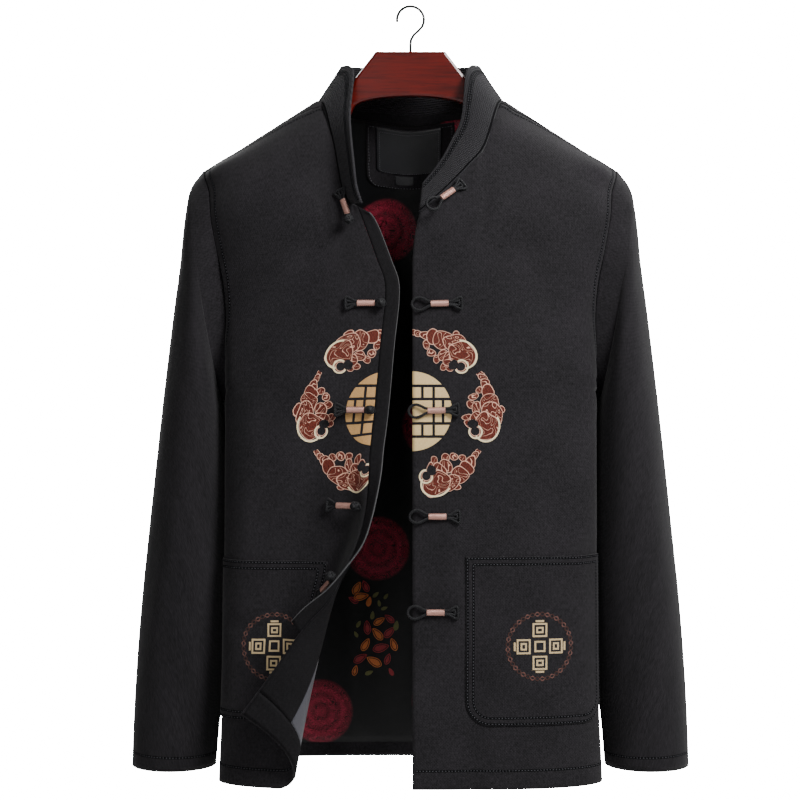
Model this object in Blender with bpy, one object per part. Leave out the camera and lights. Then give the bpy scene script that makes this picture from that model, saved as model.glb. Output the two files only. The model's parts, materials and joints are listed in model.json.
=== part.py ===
"""Tang jacket with its right front falling open, on a wooden hanger.

The frame has its origin at the crown of the hanger's hook, +X to the viewer's right (the wearer's
left), -Y toward the viewer and +Z up.  Tables are in millimetres and are turned to metres once,
where points are made.  Every panel is read from one smooth trunk: a point of it is named by its
girth, the distance along the cloth from the middle of the front round to the middle of the back,
and by its height.
"""
import math

import bmesh
import bpy
import numpy as np
from mathutils import Matrix, Vector

MM = 0.001

# Driving dimensions (mm)
HEM = -854.0            # height of the hem
ARMPIT = -435.0         # height of the underarm point
SHOULDER_TIP = -189.0   # height of the end of the shoulder seam
NECK_POINT = -103.0     # height of the shoulder seam at the neck
SEAM_FORWARD = (16.0, 5.0)   # shoulder seam ahead of the ridge: at the neck, at the tip
ARMHOLE_DEPTH = 50.0    # half of the armhole from front to back
CLOTH = 2.0             # wall of the jacket cloth
SEAM_GAP = 0.3          # between sewn pieces
SLEEVE_GAP = 0.6        # more, where the sleeve bends away from the armhole
SKIN = 1.0              # wall of linings and facings
STRIP_WIDTH = 15.0      # underlap strip beyond the front edge
STRIP_END = -742.0      # height on the panel at which the strip ends
BACK_NECK = -113.0      # height of the neck seam at the centre back
NAPE_RISE = 5.0         # of the neck seam over the shoulder
SEAM_WIDTH = (97.0, 229.5)   # shoulder seam across: at the neck, at the tip
RIDGE_START = 106.0     # where the back's rows leave the neck seam
TUCK_SHARPNESS = 30     # the higher, the narrower the tuck down the side
FACING_WIDTH = 50.0     # facing along the turned edge
LINING_GAP = 0.9        # clears the flat facets of the back
LINING_MARGIN = 9.0     # by which the lining stops short of the back's seams
TURN_SAG = 1.5          # by which the flat facets of the turn are cleared
HEM_BAND = 0.92         # hem band, in rows of the panel
COLLAR_WALL = 2.6
COLLAR_GAP = 0.4

# Rows and columns of the panels
LOW_ROWS = 13           # from hem to underarm
ARM_ROWS = 10           # from underarm to shoulder
NECK_COLUMNS = 5        # along a front's neckline
NAPE_COLUMNS = 4        # along half of the back's neckline
SHOULDER_COLUMNS = 7    # along the shoulder seam
FLAP_COLUMNS = 9        # across the part of the right front that turns
SLEEVE_ROWS = 15

MIRROR = np.array([-1.0, 1.0, 1.0])


class Table:
    """Smooth curves through a table's rows, read by its first column."""

    def __init__(self, columns, *rows):
        data = np.array(sorted(rows), float)
        self.columns = columns.split()[1:]
        self.key, self.data = data[:, 0], data[:, 1:]
        step = np.diff(self.key)[:, None]
        rise = np.diff(self.data, axis=0) / step
        slope = np.zeros_like(self.data)
        before, after = rise[:-1], rise[1:]
        level = before * after <= 0.0
        slope[1:-1] = np.where(level, 0.0, 2 * before * after / np.where(level, 1.0, before + after))
        slope[0], slope[-1] = rise[0], rise[-1]
        self.slope = slope

    def at(self, key):
        key = min(max(key, self.key[0]), self.key[-1])
        i = min(int(np.searchsorted(self.key, key, "right")) - 1, len(self.key) - 2)
        span = self.key[i + 1] - self.key[i]
        t = (key - self.key[i]) / span
        a, b = self.data[i], self.data[i + 1]
        ease = t * t * (3 - 2 * t)
        start, end = t * (1 - t) ** 2 * span, t * t * (t - 1) * span
        return a + (b - a) * ease + self.slope[i] * start + self.slope[i + 1] * end


# Cross-sections of the trunk: half width, reach to front and back, squareness of the oval, and
# how far the side is tucked in where the sleeve hangs.
TRUNK = Table(
    "height half front back square tuck",
    (-103, 99, 18, 54, 2.2, 0),
    (-136, 150, 46, 62, 2.3, 0),
    (-167, 198, 63, 69, 2.4, 0),
    (-189, 231, 74, 74, 2.5, 0),
    (-240, 231, 94, 82, 2.7, 0),
    (-316, 216, 98, 88, 2.9, 0),
    (-363, 208, 99, 90, 3.2, 3),
    (-435, 210, 99, 91, 3.5, 14),
    (-600, 211, 99, 92, 3.6, 18),
    (-730, 212, 100, 92, 3.6, 15),
    (-854, 215, 101, 92, 3.6, 8),
)

# Neckline of each front, from its front end to near the shoulder: place across and height.
NECKLINE_LEFT = Table(
    "station x height",
    (0, 9, -240), (1, 27, -224), (2, 45, -206.5), (3, 63, -187), (4, 81, -164), (5, 99, -103),
)
NECKLINE_RIGHT = Table(
    "station x height",
    (0, 63, -229), (1, 72, -211), (2, 77, -188), (3, 82, -162), (4, 89, -136), (5, 99, -103),
)

# From the neck seam to the collar's top edge, by station from a front end to the centre back:
# inward, back and up.
COLLAR_LEFT = Table(
    "station inward back up",
    (0, -4, 24, 34), (1, 1, 27, 34), (2, 9, 26, 32), (3, 17, 25, 33), (4, 25, 21, 35),
    (5, 35, 8, 41), (6, 28, -2, 45), (7, 15, -7, 47), (8, 5, -9, 49), (9, 0, -10, 50),
)
COLLAR_RIGHT = Table(
    "station inward back up",
    (0, 12, -28, -2), (1, 15, -29, 0), (2, 17, -30, 3), (3, 19, -29, 4), (4, 24, -23, 10),
    (5, 34, 2, 40), (6, 28, -2, 45), (7, 15, -7, 47), (8, 5, -9, 49), (9, 0, -10, 50),
)

# The left front's edge: place across, by height.
EDGE_LEFT = Table("height x", (-854, 1.5), (-310, 1.5), (-275, 2.5), (-240, 9))

# The right front, by height on the flat panel: where its turn begins, the middle of the turn, and
# where its edge comes to lie: across, toward the viewer, and height.
TURN = Table(
    "panel_height start middle edge_x edge_y edge_height",
    (-854, -140, -125, -178, -138, -768),
    (-800, -128, -114, -145, -143, -723),
    (-731, -113, -99, -111, -147, -675),
    (-697, -104, -91, -90, -148, -653),
    (-659, -96, -82, -72, -147, -624),
    (-622, -87, -72, -57, -143, -594),
    (-588, -83, -62, -49, -134, -567),
    (-550, -80, -57, -45, -122, -538),
    (-506, -80, -58, -44, -108, -500),
    (-450, -74, -56, -39, -102, -449),
    (-380, -64, -47, -33, -100, -380),
    (-320, -58, -42, -27.5, -98, -320),
    (-281, -62, -51, -39.5, -96.5, -281),
    (-229, -63, -60, -57, -94.5, -232),
)

# Sleeve sections: outer and inner edge across and in height, half depth, and centre front to back.
SLEEVE = Table(
    "station outer_x outer_z inner_x inner_z depth middle",
    (1, 243, -203, 211, -438, 58, 0),
    (2, 249.5, -232, 210, -449, 66, 2),
    (3, 254, -278, 206.5, -467, 73, 3),
    (4, 262, -340, 204.5, -491, 77, 4),
    (5, 271, -412, 202.5, -527, 78, 5),
    (6, 280, -490, 201, -568, 77, 6),
    (7, 288, -562, 200.5, -616, 74, 6),
    (8, 296, -634, 202.5, -668, 69, 6),
    (9, 302.5, -706, 207, -724, 62, 6),
    (10, 307, -776, 214, -783, 55, 5),
    (11, 309.5, -846, 219.5, -846, 49, 4),
)

# Frogs: height on the panel, distance of the inner end from the front edge, slope, and how much
# higher it lies where its cloth turns.
LOOPS = ((-246, 4, 35.0, 0.9), (-336, -3, 1.5, 0.0), (-451, -6, 1.5, 0.0), (-563, -5, 0.0, 0.0),
         (-665, -7, 0.0, 0.0))
KNOTS = ((-256, 8, 63.0, 0.6), (-336, -3, 0.0, 0.0), (-451, -3, 0.0, 0.0), (-563, 6, 0.0, -2.1),
         (-665, -8, -40.0, 1.2))
FROG_LENGTH = 55.0
KNOT_SHORTER = 9.0      # by which a knot's cord is shorter than a loop's
CORD = 1.9              # radius of a frog's cord
CORD_HEIGHT = 3.2       # of the cord's middle above the cloth
KNOT = 5.8              # radius of a ball knot
WRAP = (22.0, 41.0)     # thread wrap along the frog
WRAP_WALL = 0.7
FROG_LIFT = 0.35
KNOT_RAISE = 2.8

# Pockets: side, near edge along the cloth from the middle of the front, width, top and bottom
POCKETS = (("left", 58.0, 157.0, -606.0, -786.0), ("right", 86.0, 170.0, -611.0, -782.0))
POCKET_CORNER = 27.0
POCKET_WALL = 1.6
POCKET_LIFT = 0.9       # clears the flat facets of the panel below

# Inside the back neck: place across, half width, top, bottom, corner radius, depth in from the
# back's inner face, wall and material
INSIDE_NECK = (
    ("neck_facing", 0, 51, -126, -195, 12, 2.9, 0.8, "cloth"),
    ("label", -1.4, 38, -129, -178.5, 4, 4.4, 0.4, "label"),
    ("size_tab", -6.5, 10.6, -181, -191, 3, 4.4, 0.4, "label"),
)

# Hanger (mm)
WOOD_TOP = -50.0
WOOD_THICK = 13.0
WOOD_EDGE = 3.0         # rounding of its edges
WOOD_CROWN = 39.0       # half width of the flat top
WOOD_SHOULDER = (62.0, -80.0)   # where the chamfer meets the arm
WOOD_TIP = 213.0        # half length
ARCH = (64.0, -114.0, 14.0)     # half span, height of its ends and rise of the arch below
ARM_DEPTH = 32.0        # at the neck
TIP_DEPTH = 26.0
WOOD_CLEARANCE = (17.0, -0.8)    # below the ridge of the shoulder: at the neck, at the tip
HOOK_WIRE = 1.2
HOOK_RADIUS = 15.0

COLOURS = {
    "cloth": ((0.022, 0.022, 0.024), 0.85, 0.0),
    "lining": ((0.012, 0.010, 0.012), 0.35, 0.0),
    "cord": ((0.010, 0.010, 0.011), 0.7, 0.0),
    "thread": ((0.45, 0.19, 0.14), 0.4, 0.3),
    "wood": ((0.16, 0.012, 0.008), 0.2, 0.0),
    "wire": ((0.03, 0.03, 0.03), 0.35, 1.0),
    "label": ((0.02, 0.02, 0.022), 0.3, 0.0),
}


# ---------------------------------------------------------------- the trunk

def quarter(half, reach, square, tuck):
    """A quarter of a section, from the middle of a face to the side: x, depth and length."""
    turn = np.linspace(0.0, math.pi / 2, 129)
    sine, cosine = np.sin(turn), np.clip(np.cos(turn), 0.0, 1.0)
    x = half * sine ** (2 / square) - tuck * sine ** TUCK_SHARPNESS
    depth = reach * cosine ** (2 / square)
    length = np.concatenate([[0.0], np.cumsum(np.hypot(np.diff(x), np.diff(depth)))])
    return x, depth, length


def section(height):
    """The half section at a height, from the middle of the front: x, y, girth and side girth."""
    half, front, back, square, tuck = TRUNK.at(height)
    x_front, y_front, front_length = quarter(half, front, square, tuck)
    x_back, y_back, back_length = quarter(half, back, square, tuck)
    x = np.concatenate([x_front, x_back[-2::-1]])
    y = np.concatenate([-y_front, y_back[-2::-1]])
    girth = np.concatenate([front_length, front_length[-1] + back_length[-1] - back_length[-2::-1]])
    return x, y, girth, front_length[-1]


def trunk(girth, height):
    x, y, lengths, _ = section(height)
    return np.array([np.interp(girth, lengths, x), np.interp(girth, lengths, y), height])


def side_girth(height):
    return section(height)[3]


def back_girth(height):
    return section(height)[2][-1]


def girth_at_depth(height, y):
    x, depths, lengths, _ = section(height)
    return float(np.interp(y, depths, lengths))


def girth_at_width(height, width):
    x, _, lengths, side = section(height)
    ahead = lengths <= side
    climb = np.maximum.accumulate(x[ahead])
    return float(np.interp(width, climb, lengths[ahead]))


# ---------------------------------------------------------------- sheets and walls

class Sheet:
    """A grid of points on a surface, rows by columns, with their outward normals."""

    def __init__(self, points, outward=1.0, closed=False):
        self.p = np.array(points, float)
        across = self.slope(1, closed)
        along = self.slope(0, False)
        normal = np.cross(across, along) * outward
        self.n = normal / np.maximum(np.linalg.norm(normal, axis=2, keepdims=True), 1e-9)

    def slope(self, axis, closed):
        if closed:
            return np.roll(self.p, -1, axis) - np.roll(self.p, 1, axis)
        return np.gradient(self.p, axis=axis)

    def moved(self, distance):
        return self.p + self.n * distance

    def part(self, rows, columns):
        piece = Sheet.__new__(Sheet)
        piece.p, piece.n = self.p[rows, columns].copy(), self.n[rows, columns].copy()
        return piece

    def mirrored(self):
        piece = Sheet.__new__(Sheet)
        flip = np.array([-1.0, 1.0, 1.0])
        piece.p, piece.n = (self.p * flip)[:, ::-1], (self.n * flip)[:, ::-1]
        return piece


def share_normals(*edges):
    """Gives the points that two sheets share along a seam one common normal."""
    for one, other in edges:
        common = one + other
        common /= np.maximum(np.linalg.norm(common, axis=-1, keepdims=True), 1e-9)
        one[:], other[:] = common, common


def drawn_in(points, gap, closed=False):
    """Draws the edges of a grid in by a small gap, toward the next row or column."""
    result = points.copy()
    edges = [(0, 1, 0), (0, -2, -1)] + ([] if closed else [(1, 1, 0), (1, -2, -1)])
    for axis, inner, outer in edges:
        edge = np.take(points, outer, axis)
        step = np.take(points, inner, axis) - edge
        step *= gap / np.maximum(np.linalg.norm(step, axis=-1, keepdims=True), 1e-6)
        if axis == 0:
            result[outer] += step
        else:
            result[:, outer] += step
    return result


def wall(name, inner, outer, kind, closed=False):
    """A cloth wall between two grids of points; closed joins the last column to the first."""
    if closed:
        inner, outer = (np.concatenate([side, side[:, :1]], 1) for side in (inner, outer))
    rows, columns = outer.shape[:2]
    inner, outer = inner.reshape(-1, 3) * MM, outer.reshape(-1, 3) * MM
    mesh = bmesh.new()
    number = mesh.verts.layers.int.new("number")
    made = bmesh.ops.create_grid(mesh, x_segments=columns - 1, y_segments=rows - 1, size=1.0)["verts"]
    for i, vertex in enumerate(made):
        vertex[number] = i
        vertex.co = outer[i]
    if closed:
        bmesh.ops.remove_doubles(mesh, verts=made, dist=1e-6)
    bmesh.ops.triangulate(mesh, faces=mesh.faces[:], quad_method="SHORT_EDGE")
    other_side = bmesh.ops.extrude_face_region(mesh, geom=mesh.faces[:], use_keep_orig=True)["geom"]
    for vertex in other_side:
        if isinstance(vertex, bmesh.types.BMVert):
            vertex.co = inner[vertex[number]]
    bmesh.ops.recalc_face_normals(mesh, faces=mesh.faces[:])
    return finish(name, mesh, kind)


def finish(name, mesh, kind):
    data = bpy.data.meshes.new(name)
    mesh.to_mesh(data)
    mesh.free()
    data.shade_smooth()
    data.set_sharp_from_angle(angle=math.radians(50))
    data.materials.append(material(name, kind))
    piece = bpy.data.objects.new(name, data)
    COLLECTION.objects.link(piece)
    return piece


def cloth(name, sheet, closed=False, thickness=CLOTH, gap=SEAM_GAP / 2):
    inner = drawn_in(sheet.moved(0.0), gap, closed)
    outer = drawn_in(sheet.moved(thickness), gap, closed)
    return wall(name, inner, outer, "cloth", closed)


def skin(name, sheet, start, thickness, kind, gap=SEAM_GAP / 2):
    """A thin layer on a sheet, from one distance off it to another; negative is inside."""
    near = drawn_in(sheet.moved(start), gap)
    far = drawn_in(sheet.moved(start + math.copysign(thickness, start)), gap)
    return wall(name, near, far, kind)


# ---------------------------------------------------------------- seams

def armhole(turn, face):
    """Girth and height on the armhole; turn 0 is the shoulder, 1 the underarm; face -1 front."""
    angle = math.pi * turn
    height = (SHOULDER_TIP + ARMPIT) / 2 + (SHOULDER_TIP - ARMPIT) / 2 * math.cos(angle)
    depth = ARMHOLE_DEPTH * abs(math.sin(angle)) ** 0.8
    if face < 0:
        depth = -depth - SEAM_FORWARD[1] * (1 + math.cos(angle)) / 2
    if turn == 1:
        return side_girth(ARMPIT), ARMPIT
    if turn == 0:
        return shoulder_seam(1) if face < 0 else ridge(1)
    return girth_at_depth(height, depth), height


def ridge_height(width):
    heights = np.linspace(SHOULDER_TIP, NECK_POINT, 40)
    return float(np.interp(-width, [-TRUNK.at(height)[0] for height in heights], heights))


def shoulder_seam(t):
    """Girth and height on the shoulder seam, from the neck point to the tip."""
    width, forward = (a + (b - a) * t for a, b in (SEAM_WIDTH, SEAM_FORWARD))
    heights = np.linspace(ridge_height(width) - 30, ridge_height(width), 60)
    depths = []
    for height in heights:
        x, y, lengths, side = section(height)
        depths.append(np.interp(width, np.maximum.accumulate(x[lengths <= side]), y[lengths <= side]))
    height = float(np.interp(-forward, depths, heights))
    return girth_at_depth(height, -forward), height


def ridge(t):
    height = ridge_height(RIDGE_START + (SEAM_WIDTH[1] - RIDGE_START) * t)
    return side_girth(height), height


def neckline(table, t):
    """Girth and height on a front's neckline, from the front end to the neck point."""
    if t == 1:
        return shoulder_seam(0)
    x, height = table.at(NECK_COLUMNS * t)
    return girth_at_width(height, x), height


def nape(t, drop=0.0):
    """Girth and height on the back's neckline, from the neck point to the centre back."""
    start, height = shoulder_seam(0)
    level = height + (BACK_NECK - height) * t + NAPE_RISE * math.sin(math.pi * t) - drop
    return start + (back_girth(level) - start) * t, level


def eased(t, power=1.1):
    """Spaces columns more closely toward the side."""
    return 1 - (1 - t) ** power


# ---------------------------------------------------------------- panels

def upper_grid(bottom, top, edge, side):
    """Fills the panel above the underarm, in girth and height, from its four edges."""
    rows, columns = len(side), len(top)
    grid = np.zeros((rows, columns, 2))
    for i in range(rows):
        w = i / (rows - 1)
        for j in range(columns):
            u = j / (columns - 1)
            flat = (1 - w) * bottom[j] + w * top[j]
            at_side = side[i] - (1 - w) * bottom[-1] - w * top[-1]
            at_edge = edge[i] - (1 - w) * bottom[0] - w * top[0]
            grid[i, j] = flat + u * at_side + (1 - u) * at_edge
    return grid


def low_heights():
    return np.linspace(HEM, ARMPIT, LOW_ROWS + 1)


def front_sheet(neck_table, edge_width):
    """Girths, heights and points of a front, from its edge to its side seam and armhole."""
    columns = NECK_COLUMNS + SHOULDER_COLUMNS
    spacing = [eased(j / columns) for j in range(columns + 1)]

    def level_row(height):
        start = girth_at_width(height, edge_width(height))
        side = side_girth(height)
        return np.array([(start + (side - start) * c, height) for c in spacing])

    top = [neckline(neck_table, j / NECK_COLUMNS) for j in range(NECK_COLUMNS + 1)]
    top += [shoulder_seam(j / SHOULDER_COLUMNS) for j in range(1, SHOULDER_COLUMNS + 1)]
    edge_heights = np.linspace(ARMPIT, top[0][1], ARM_ROWS + 1)
    edge = [(girth_at_width(z, edge_width(z)), z) for z in edge_heights]
    edge[-1] = top[0]
    side = [armhole(1 - i / ARM_ROWS, -1) for i in range(ARM_ROWS + 1)]
    upper = upper_grid(level_row(ARMPIT), np.array(top), np.array(edge), np.array(side))
    lower = np.array([level_row(height) for height in low_heights()[:-1]])
    return np.concatenate([lower, upper])


def on_trunk(grid):
    return np.array([[trunk(girth, height) for girth, height in row] for row in grid])


def trunk_sheet(grid, step=2.0):
    """A sheet on the trunk, with the trunk's own normals."""
    grid = np.array(grid)
    sheet = Sheet(on_trunk(grid))
    across = on_trunk(grid + [step, 0]) - on_trunk(grid - [step, 0])
    along = on_trunk(grid + [0, step]) - on_trunk(grid - [0, step])
    normal = np.cross(across, along)
    sheet.n = normal / np.linalg.norm(normal, axis=2, keepdims=True)
    return sheet


def back_half():
    """Girths and heights of half of the back, from the side to the centre back."""
    columns = SHOULDER_COLUMNS + NAPE_COLUMNS
    spacing = [(j / columns) ** 1.1 for j in range(columns + 1)]

    def level_row(height):
        side = side_girth(height)
        return np.array([(side + (back_girth(height) - side) * c, height) for c in spacing])

    tip_to_neck = [1 - j / SHOULDER_COLUMNS for j in range(SHOULDER_COLUMNS + 1)]
    neck_to_back = [j / NAPE_COLUMNS for j in range(1, NAPE_COLUMNS + 1)]
    ridge_row = [ridge(t) for t in tip_to_neck] + [nape(t, 8.0 * t + 3.0) for t in neck_to_back]
    seam_row = [shoulder_seam(t) for t in tip_to_neck] + [nape(t) for t in neck_to_back]
    side = [armhole(1 - i / ARM_ROWS, 1) for i in range(ARM_ROWS)] + [ridge(1)]
    edge_heights = np.linspace(ARMPIT, ridge_row[-1][1], ARM_ROWS + 1)
    middle = [(back_girth(height), height) for height in edge_heights]
    bottom, top = level_row(ARMPIT)[::-1], np.array(ridge_row)[::-1]
    upper = upper_grid(bottom, top, np.array(middle), np.array(side))[:, ::-1]
    lower = np.array([level_row(height) for height in low_heights()[:-1]])
    return np.concatenate([lower, upper, [seam_row]])


def turned_front():
    """The right front in its place: the level part, then the part that rolls to its edge."""
    level = on_trunk(front_sheet(NECKLINE_RIGHT, lambda height: -TURN.at(height)[0])) * [-1, 1, 1]
    rows = []
    for row in level:
        height = min(row[0][2], TURN.key[-1])
        _, middle, edge_x, edge_y, edge_z = TURN.at(height)
        start, edge = row[0], np.array([edge_x, edge_y, edge_z])
        turn_x = (8 * middle - start[0] - edge_x) / 6
        rise = edge_z - start[2]
        first = np.array([turn_x, start[1] - 0.5, start[2] + 0.05 * rise])
        last = np.array([turn_x, edge_y + 0.15 * (start[1] - edge_y), start[2] + 0.5 * rise])
        rows.append([bezier(edge, last, first, start, j / FLAP_COLUMNS) for j in range(FLAP_COLUMNS)])
    return np.concatenate([np.array(rows), level], 1)[:, ::-1]


def bezier(a, b, c, d, t):
    s = 1 - t
    return s ** 3 * a + 3 * s * s * t * b + 3 * s * t * t * c + t ** 3 * d


def collar_sheet(left_edge, nape_edge, right_edge):
    """The stand collar, from the left front's end round the nape to the right front's end."""
    seam = np.concatenate([left_edge, nape_edge[1:-1], right_edge])
    half = NECK_COLUMNS + NAPE_COLUMNS
    top = []
    for i, point in enumerate(seam):
        inward, back, up = (COLLAR_LEFT if i <= half else COLLAR_RIGHT).at(min(i, 2 * half - i))
        top.append(point + [-inward if i <= half else inward, back, up])
    levels = np.linspace(0.0, 1.0, 4)[:, None, None]
    return Sheet(seam + (np.array(top) - seam) * levels)


def sleeve_sheet(ring):
    """The sleeve on the +X side, from the armhole's points down to the cuff."""
    angles = [math.pi * i / ARM_ROWS for i in range(ARM_ROWS + 1)]
    front = [max(angle, 0.08) for angle in angles]
    back = [2 * math.pi - angle for angle in angles[-2::-1]]
    rows = [ring]
    for station in np.linspace(1, 11, SLEEVE_ROWS):
        outer_x, outer_z, inner_x, inner_z, depth, middle = SLEEVE.at(station)
        centre = np.array([(outer_x + inner_x) / 2, middle, (outer_z + inner_z) / 2])
        spread = np.array([(outer_x - inner_x) / 2, 0.0, (outer_z - inner_z) / 2])
        rows.append([centre + spread * math.cos(a) - [0, depth * math.sin(a), 0] for a in front + back])
    return Sheet(rows, closed=True)


def sample(sheet, row, column):
    """Point and normal between a sheet's rows and columns."""
    i = min(max(int(math.floor(row)), 0), sheet.p.shape[0] - 2)
    j = min(max(int(math.floor(column)), 0), sheet.p.shape[1] - 2)
    s, t = row - i, column - j
    spot = []
    for values in (sheet.p, sheet.n):
        low = values[i, j] * (1 - t) + values[i, j + 1] * t
        high = values[i + 1, j] * (1 - t) + values[i + 1, j + 1] * t
        spot.append(low * (1 - s) + high * s)
    return spot[0], spot[1] / np.linalg.norm(spot[1])


def column_from_edge(sheet, row, distance, step):
    """The column at a distance along a row from the front edge; step is -1 where the edge is last."""
    columns = sheet.p.shape[1]
    order = range(columns) if step > 0 else range(columns - 1, -1, -1)
    points = np.array([sample(sheet, row, j)[0] for j in order])
    lengths = np.concatenate([[0], np.cumsum(np.linalg.norm(np.diff(points, axis=0), axis=1))])
    place = np.interp(distance, lengths, range(columns)) + min(distance, 0.0) / lengths[1]
    return place if step > 0 else columns - 1 - place


def sampled(sheet, spots):
    """A sheet through places on another, each given by its row and column."""
    piece = Sheet.__new__(Sheet)
    found = [[sample(sheet, *spot) for spot in row] for row in spots]
    piece.p, piece.n = (np.array([[spot[k] for spot in row] for row in found]) for k in (0, 1))
    return piece


def patch(sheet, rows, span, columns):
    """A sheet over given rows of another, between the two columns that span gives for each."""
    fractions = [j / columns for j in range(columns + 1)]
    ends = [span(row) for row in rows]
    return sampled(sheet, [[(row, first + (last - first) * f) for f in fractions]
                           for row, (first, last) in zip(rows, ends)])


def rounded_patch(centre, half_width, top, bottom, corner, place, columns, rows):
    """Places over a patch with round lower corners; place turns an offset across and a height."""
    heights = [bottom + corner * (1 - math.cos(math.pi / 2 * i / 3)) for i in range(4)]
    heights += list(np.linspace(bottom + corner, top, rows + 1))[1:]
    grid = []
    for height in heights:
        below = max(bottom + corner - height, 0.0)
        half = half_width - corner + math.sqrt(max(corner ** 2 - below ** 2, 0.0))
        grid.append([place(centre + half * (2 * j / columns - 1), height) for j in range(columns + 1)])
    return grid


# ---------------------------------------------------------------- pieces

def join_sides(front, back, sleeve):
    """One normal for both sides of the seams on the +X side."""
    side, shoulder = LOW_ROWS + 1, SHOULDER_COLUMNS + 1
    share_normals(
        (front.n[:side, -1], back.n[:side, 0]),
        (front.n[-1, -shoulder:], back.n[-1, :shoulder][::-1]),
        (front.n[LOW_ROWS:, -1][::-1], sleeve.n[0, :ARM_ROWS + 1]),
        (back.n[LOW_ROWS + 1:-1, 0], sleeve.n[0, ARM_ROWS + 1:]),
    )
    back.n[LOW_ROWS, 0] = front.n[LOW_ROWS, -1]
    back.n[-1, 0] = front.n[-1, -1]


def copy_sides(front, back, right_front):
    """Gives the -X side the normals of the +X side, mirrored."""
    shoulder = SHOULDER_COLUMNS + 1
    right_front.n[:, 0] = front.n[:, -1] * MIRROR
    right_front.n[-1, :shoulder] = front.n[-1, -shoulder:][::-1] * MIRROR
    back.n[:, -1] = back.n[:, 0] * MIRROR
    back.n[-1, -shoulder:] = back.n[-1, :shoulder][::-1] * MIRROR


def join_collar(collar, front, back, right_front):
    neck, shoulder = NECK_COLUMNS + 1, SHOULDER_COLUMNS
    nape = 2 * NAPE_COLUMNS - 1
    share_normals(
        (collar.n[0, :neck], front.n[-1, :neck]),
        (collar.n[0, neck:neck + nape], back.n[-1, shoulder + 1:shoulder + 1 + nape]),
        (collar.n[0, neck + nape:], right_front.n[-1, shoulder:shoulder + neck]),
    )
    back.n[-1, shoulder] = front.n[-1, neck - 1]
    back.n[-1, -shoulder - 1] = right_front.n[-1, shoulder]


def jacket_sheets():
    front = Sheet(on_trunk(front_sheet(NECKLINE_LEFT, lambda height: EDGE_LEFT.at(height)[0])))
    right_front = Sheet(turned_front())
    half = Sheet(on_trunk(back_half()))
    back = Sheet(np.concatenate([half.p, half.mirrored().p[:, 1:]], 1))
    ring = np.concatenate([front.p[LOW_ROWS:, -1][::-1], back.p[LOW_ROWS + 1:-1, 0]])
    sleeve = sleeve_sheet(ring)
    join_sides(front, back, sleeve)
    copy_sides(front, back, right_front)
    shoulder, neck = SHOULDER_COLUMNS, NECK_COLUMNS + 1
    collar = collar_sheet(front.p[-1, :neck], back.p[-1, shoulder:-shoulder],
                          right_front.p[-1, shoulder:shoulder + neck])
    join_collar(collar, front, back, right_front)
    return front, right_front, back, sleeve, collar


def make_strip(right_front):
    """The underlap strip, sewn into the right front's edge."""
    heights = panel_heights(right_front)
    first = np.interp(STRIP_END, heights, range(len(heights)))
    rows = [first] + [i for i in range(len(heights)) if i > first + 0.2]
    points, normals = [], []
    for row in rows:
        edge, normal = sample(right_front, row, right_front.p.shape[1] - 1)
        before, _ = sample(right_front, row, right_front.p.shape[1] - 1.5)
        outward = (edge - before) / np.linalg.norm(edge - before)
        points.append([edge + outward * reach for reach in (SEAM_GAP / 2, STRIP_WIDTH / 2, STRIP_WIDTH)])
        normals.append([normal] * 3)
    sheet = Sheet.__new__(Sheet)
    sheet.p, sheet.n = np.array(points), np.array(normals)
    cloth("underlap_strip", sheet)


def panel_heights(right_front):
    """Heights of the right front's rows on the part of it that lies level."""
    return right_front.p[:, SHOULDER_COLUMNS + NECK_COLUMNS, 2]


def make_turned_corner(right_front):
    """The facing, hem band and lining that show where the corner is turned back."""
    edge = right_front.p.shape[1] - 1
    level = edge - FLAP_COLUMNS - 1
    inside = -SEAM_GAP - TURN_SAG

    def facing_start(row):
        return max(column_from_edge(right_front, row, FACING_WIDTH, -1), level)

    facing_rows = [HEM_BAND + 0.02] + list(range(2, LOW_ROWS - 1))
    facing = patch(right_front, facing_rows, lambda row: (facing_start(row), edge), 9)
    skin("facing_right", facing, inside, SKIN, "cloth")
    band = patch(right_front, [0, HEM_BAND / 2, HEM_BAND], lambda row: (level, edge), FLAP_COLUMNS + 1)
    skin("hem_band_right", band, inside, SKIN, "cloth")
    lining_rows = [HEM_BAND + 0.02, 2, 3, 4, 5]
    lining = patch(right_front, lining_rows, lambda row: (level, facing_start(row)), 10)
    skin("lining_right", lining, inside, SKIN, "lining")


def make_back_inside(back):
    top = LOW_ROWS + ARM_ROWS
    low = back.p[0] + (back.p[1] - back.p[0]) * 0.45
    lining = back.part(slice(1, top + 1, 2), slice(2, -2, 2))
    lining.p = np.concatenate([[low[2:-2:2]], lining.p])
    lining.n = np.concatenate([[back.n[0, 2:-2:2]], lining.n])
    skin("lining_back", lining, -LINING_GAP, SKIN, "lining", gap=LINING_MARGIN)

    heights = lining.p[:, lining.p.shape[1] // 2, 2]
    for name, centre, half, top, bottom, corner, depth, thickness, kind in INSIDE_NECK:
        def place(x, height):
            row = np.interp(height, heights, range(len(heights)))
            across = [sample(lining, row, column)[0][0] for column in range(lining.p.shape[1])]
            return row, np.interp(-x, -np.array(across), range(len(across)))

        spots = rounded_patch(centre, half, top, bottom, corner, place, 8, 3)
        skin(name, sampled(lining, spots), -depth, thickness, kind)


def make_pockets():
    for side, near, width, top, bottom in POCKETS:
        def place(girth, height):
            turn = 0.0 if side == "left" else 4.0 - TURN.at(height)[0]
            return girth_clear(girth, girth_at_width(height, turn), near, width), height

        grid = rounded_patch(near + width / 2, width / 2, top, bottom, POCKET_CORNER, place, 12, 5)
        sheet = trunk_sheet(grid)
        if side == "right":
            sheet = sheet.mirrored()
        skin("pocket_" + side, sheet, CLOTH + POCKET_LIFT, POCKET_WALL, "cloth")


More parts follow.
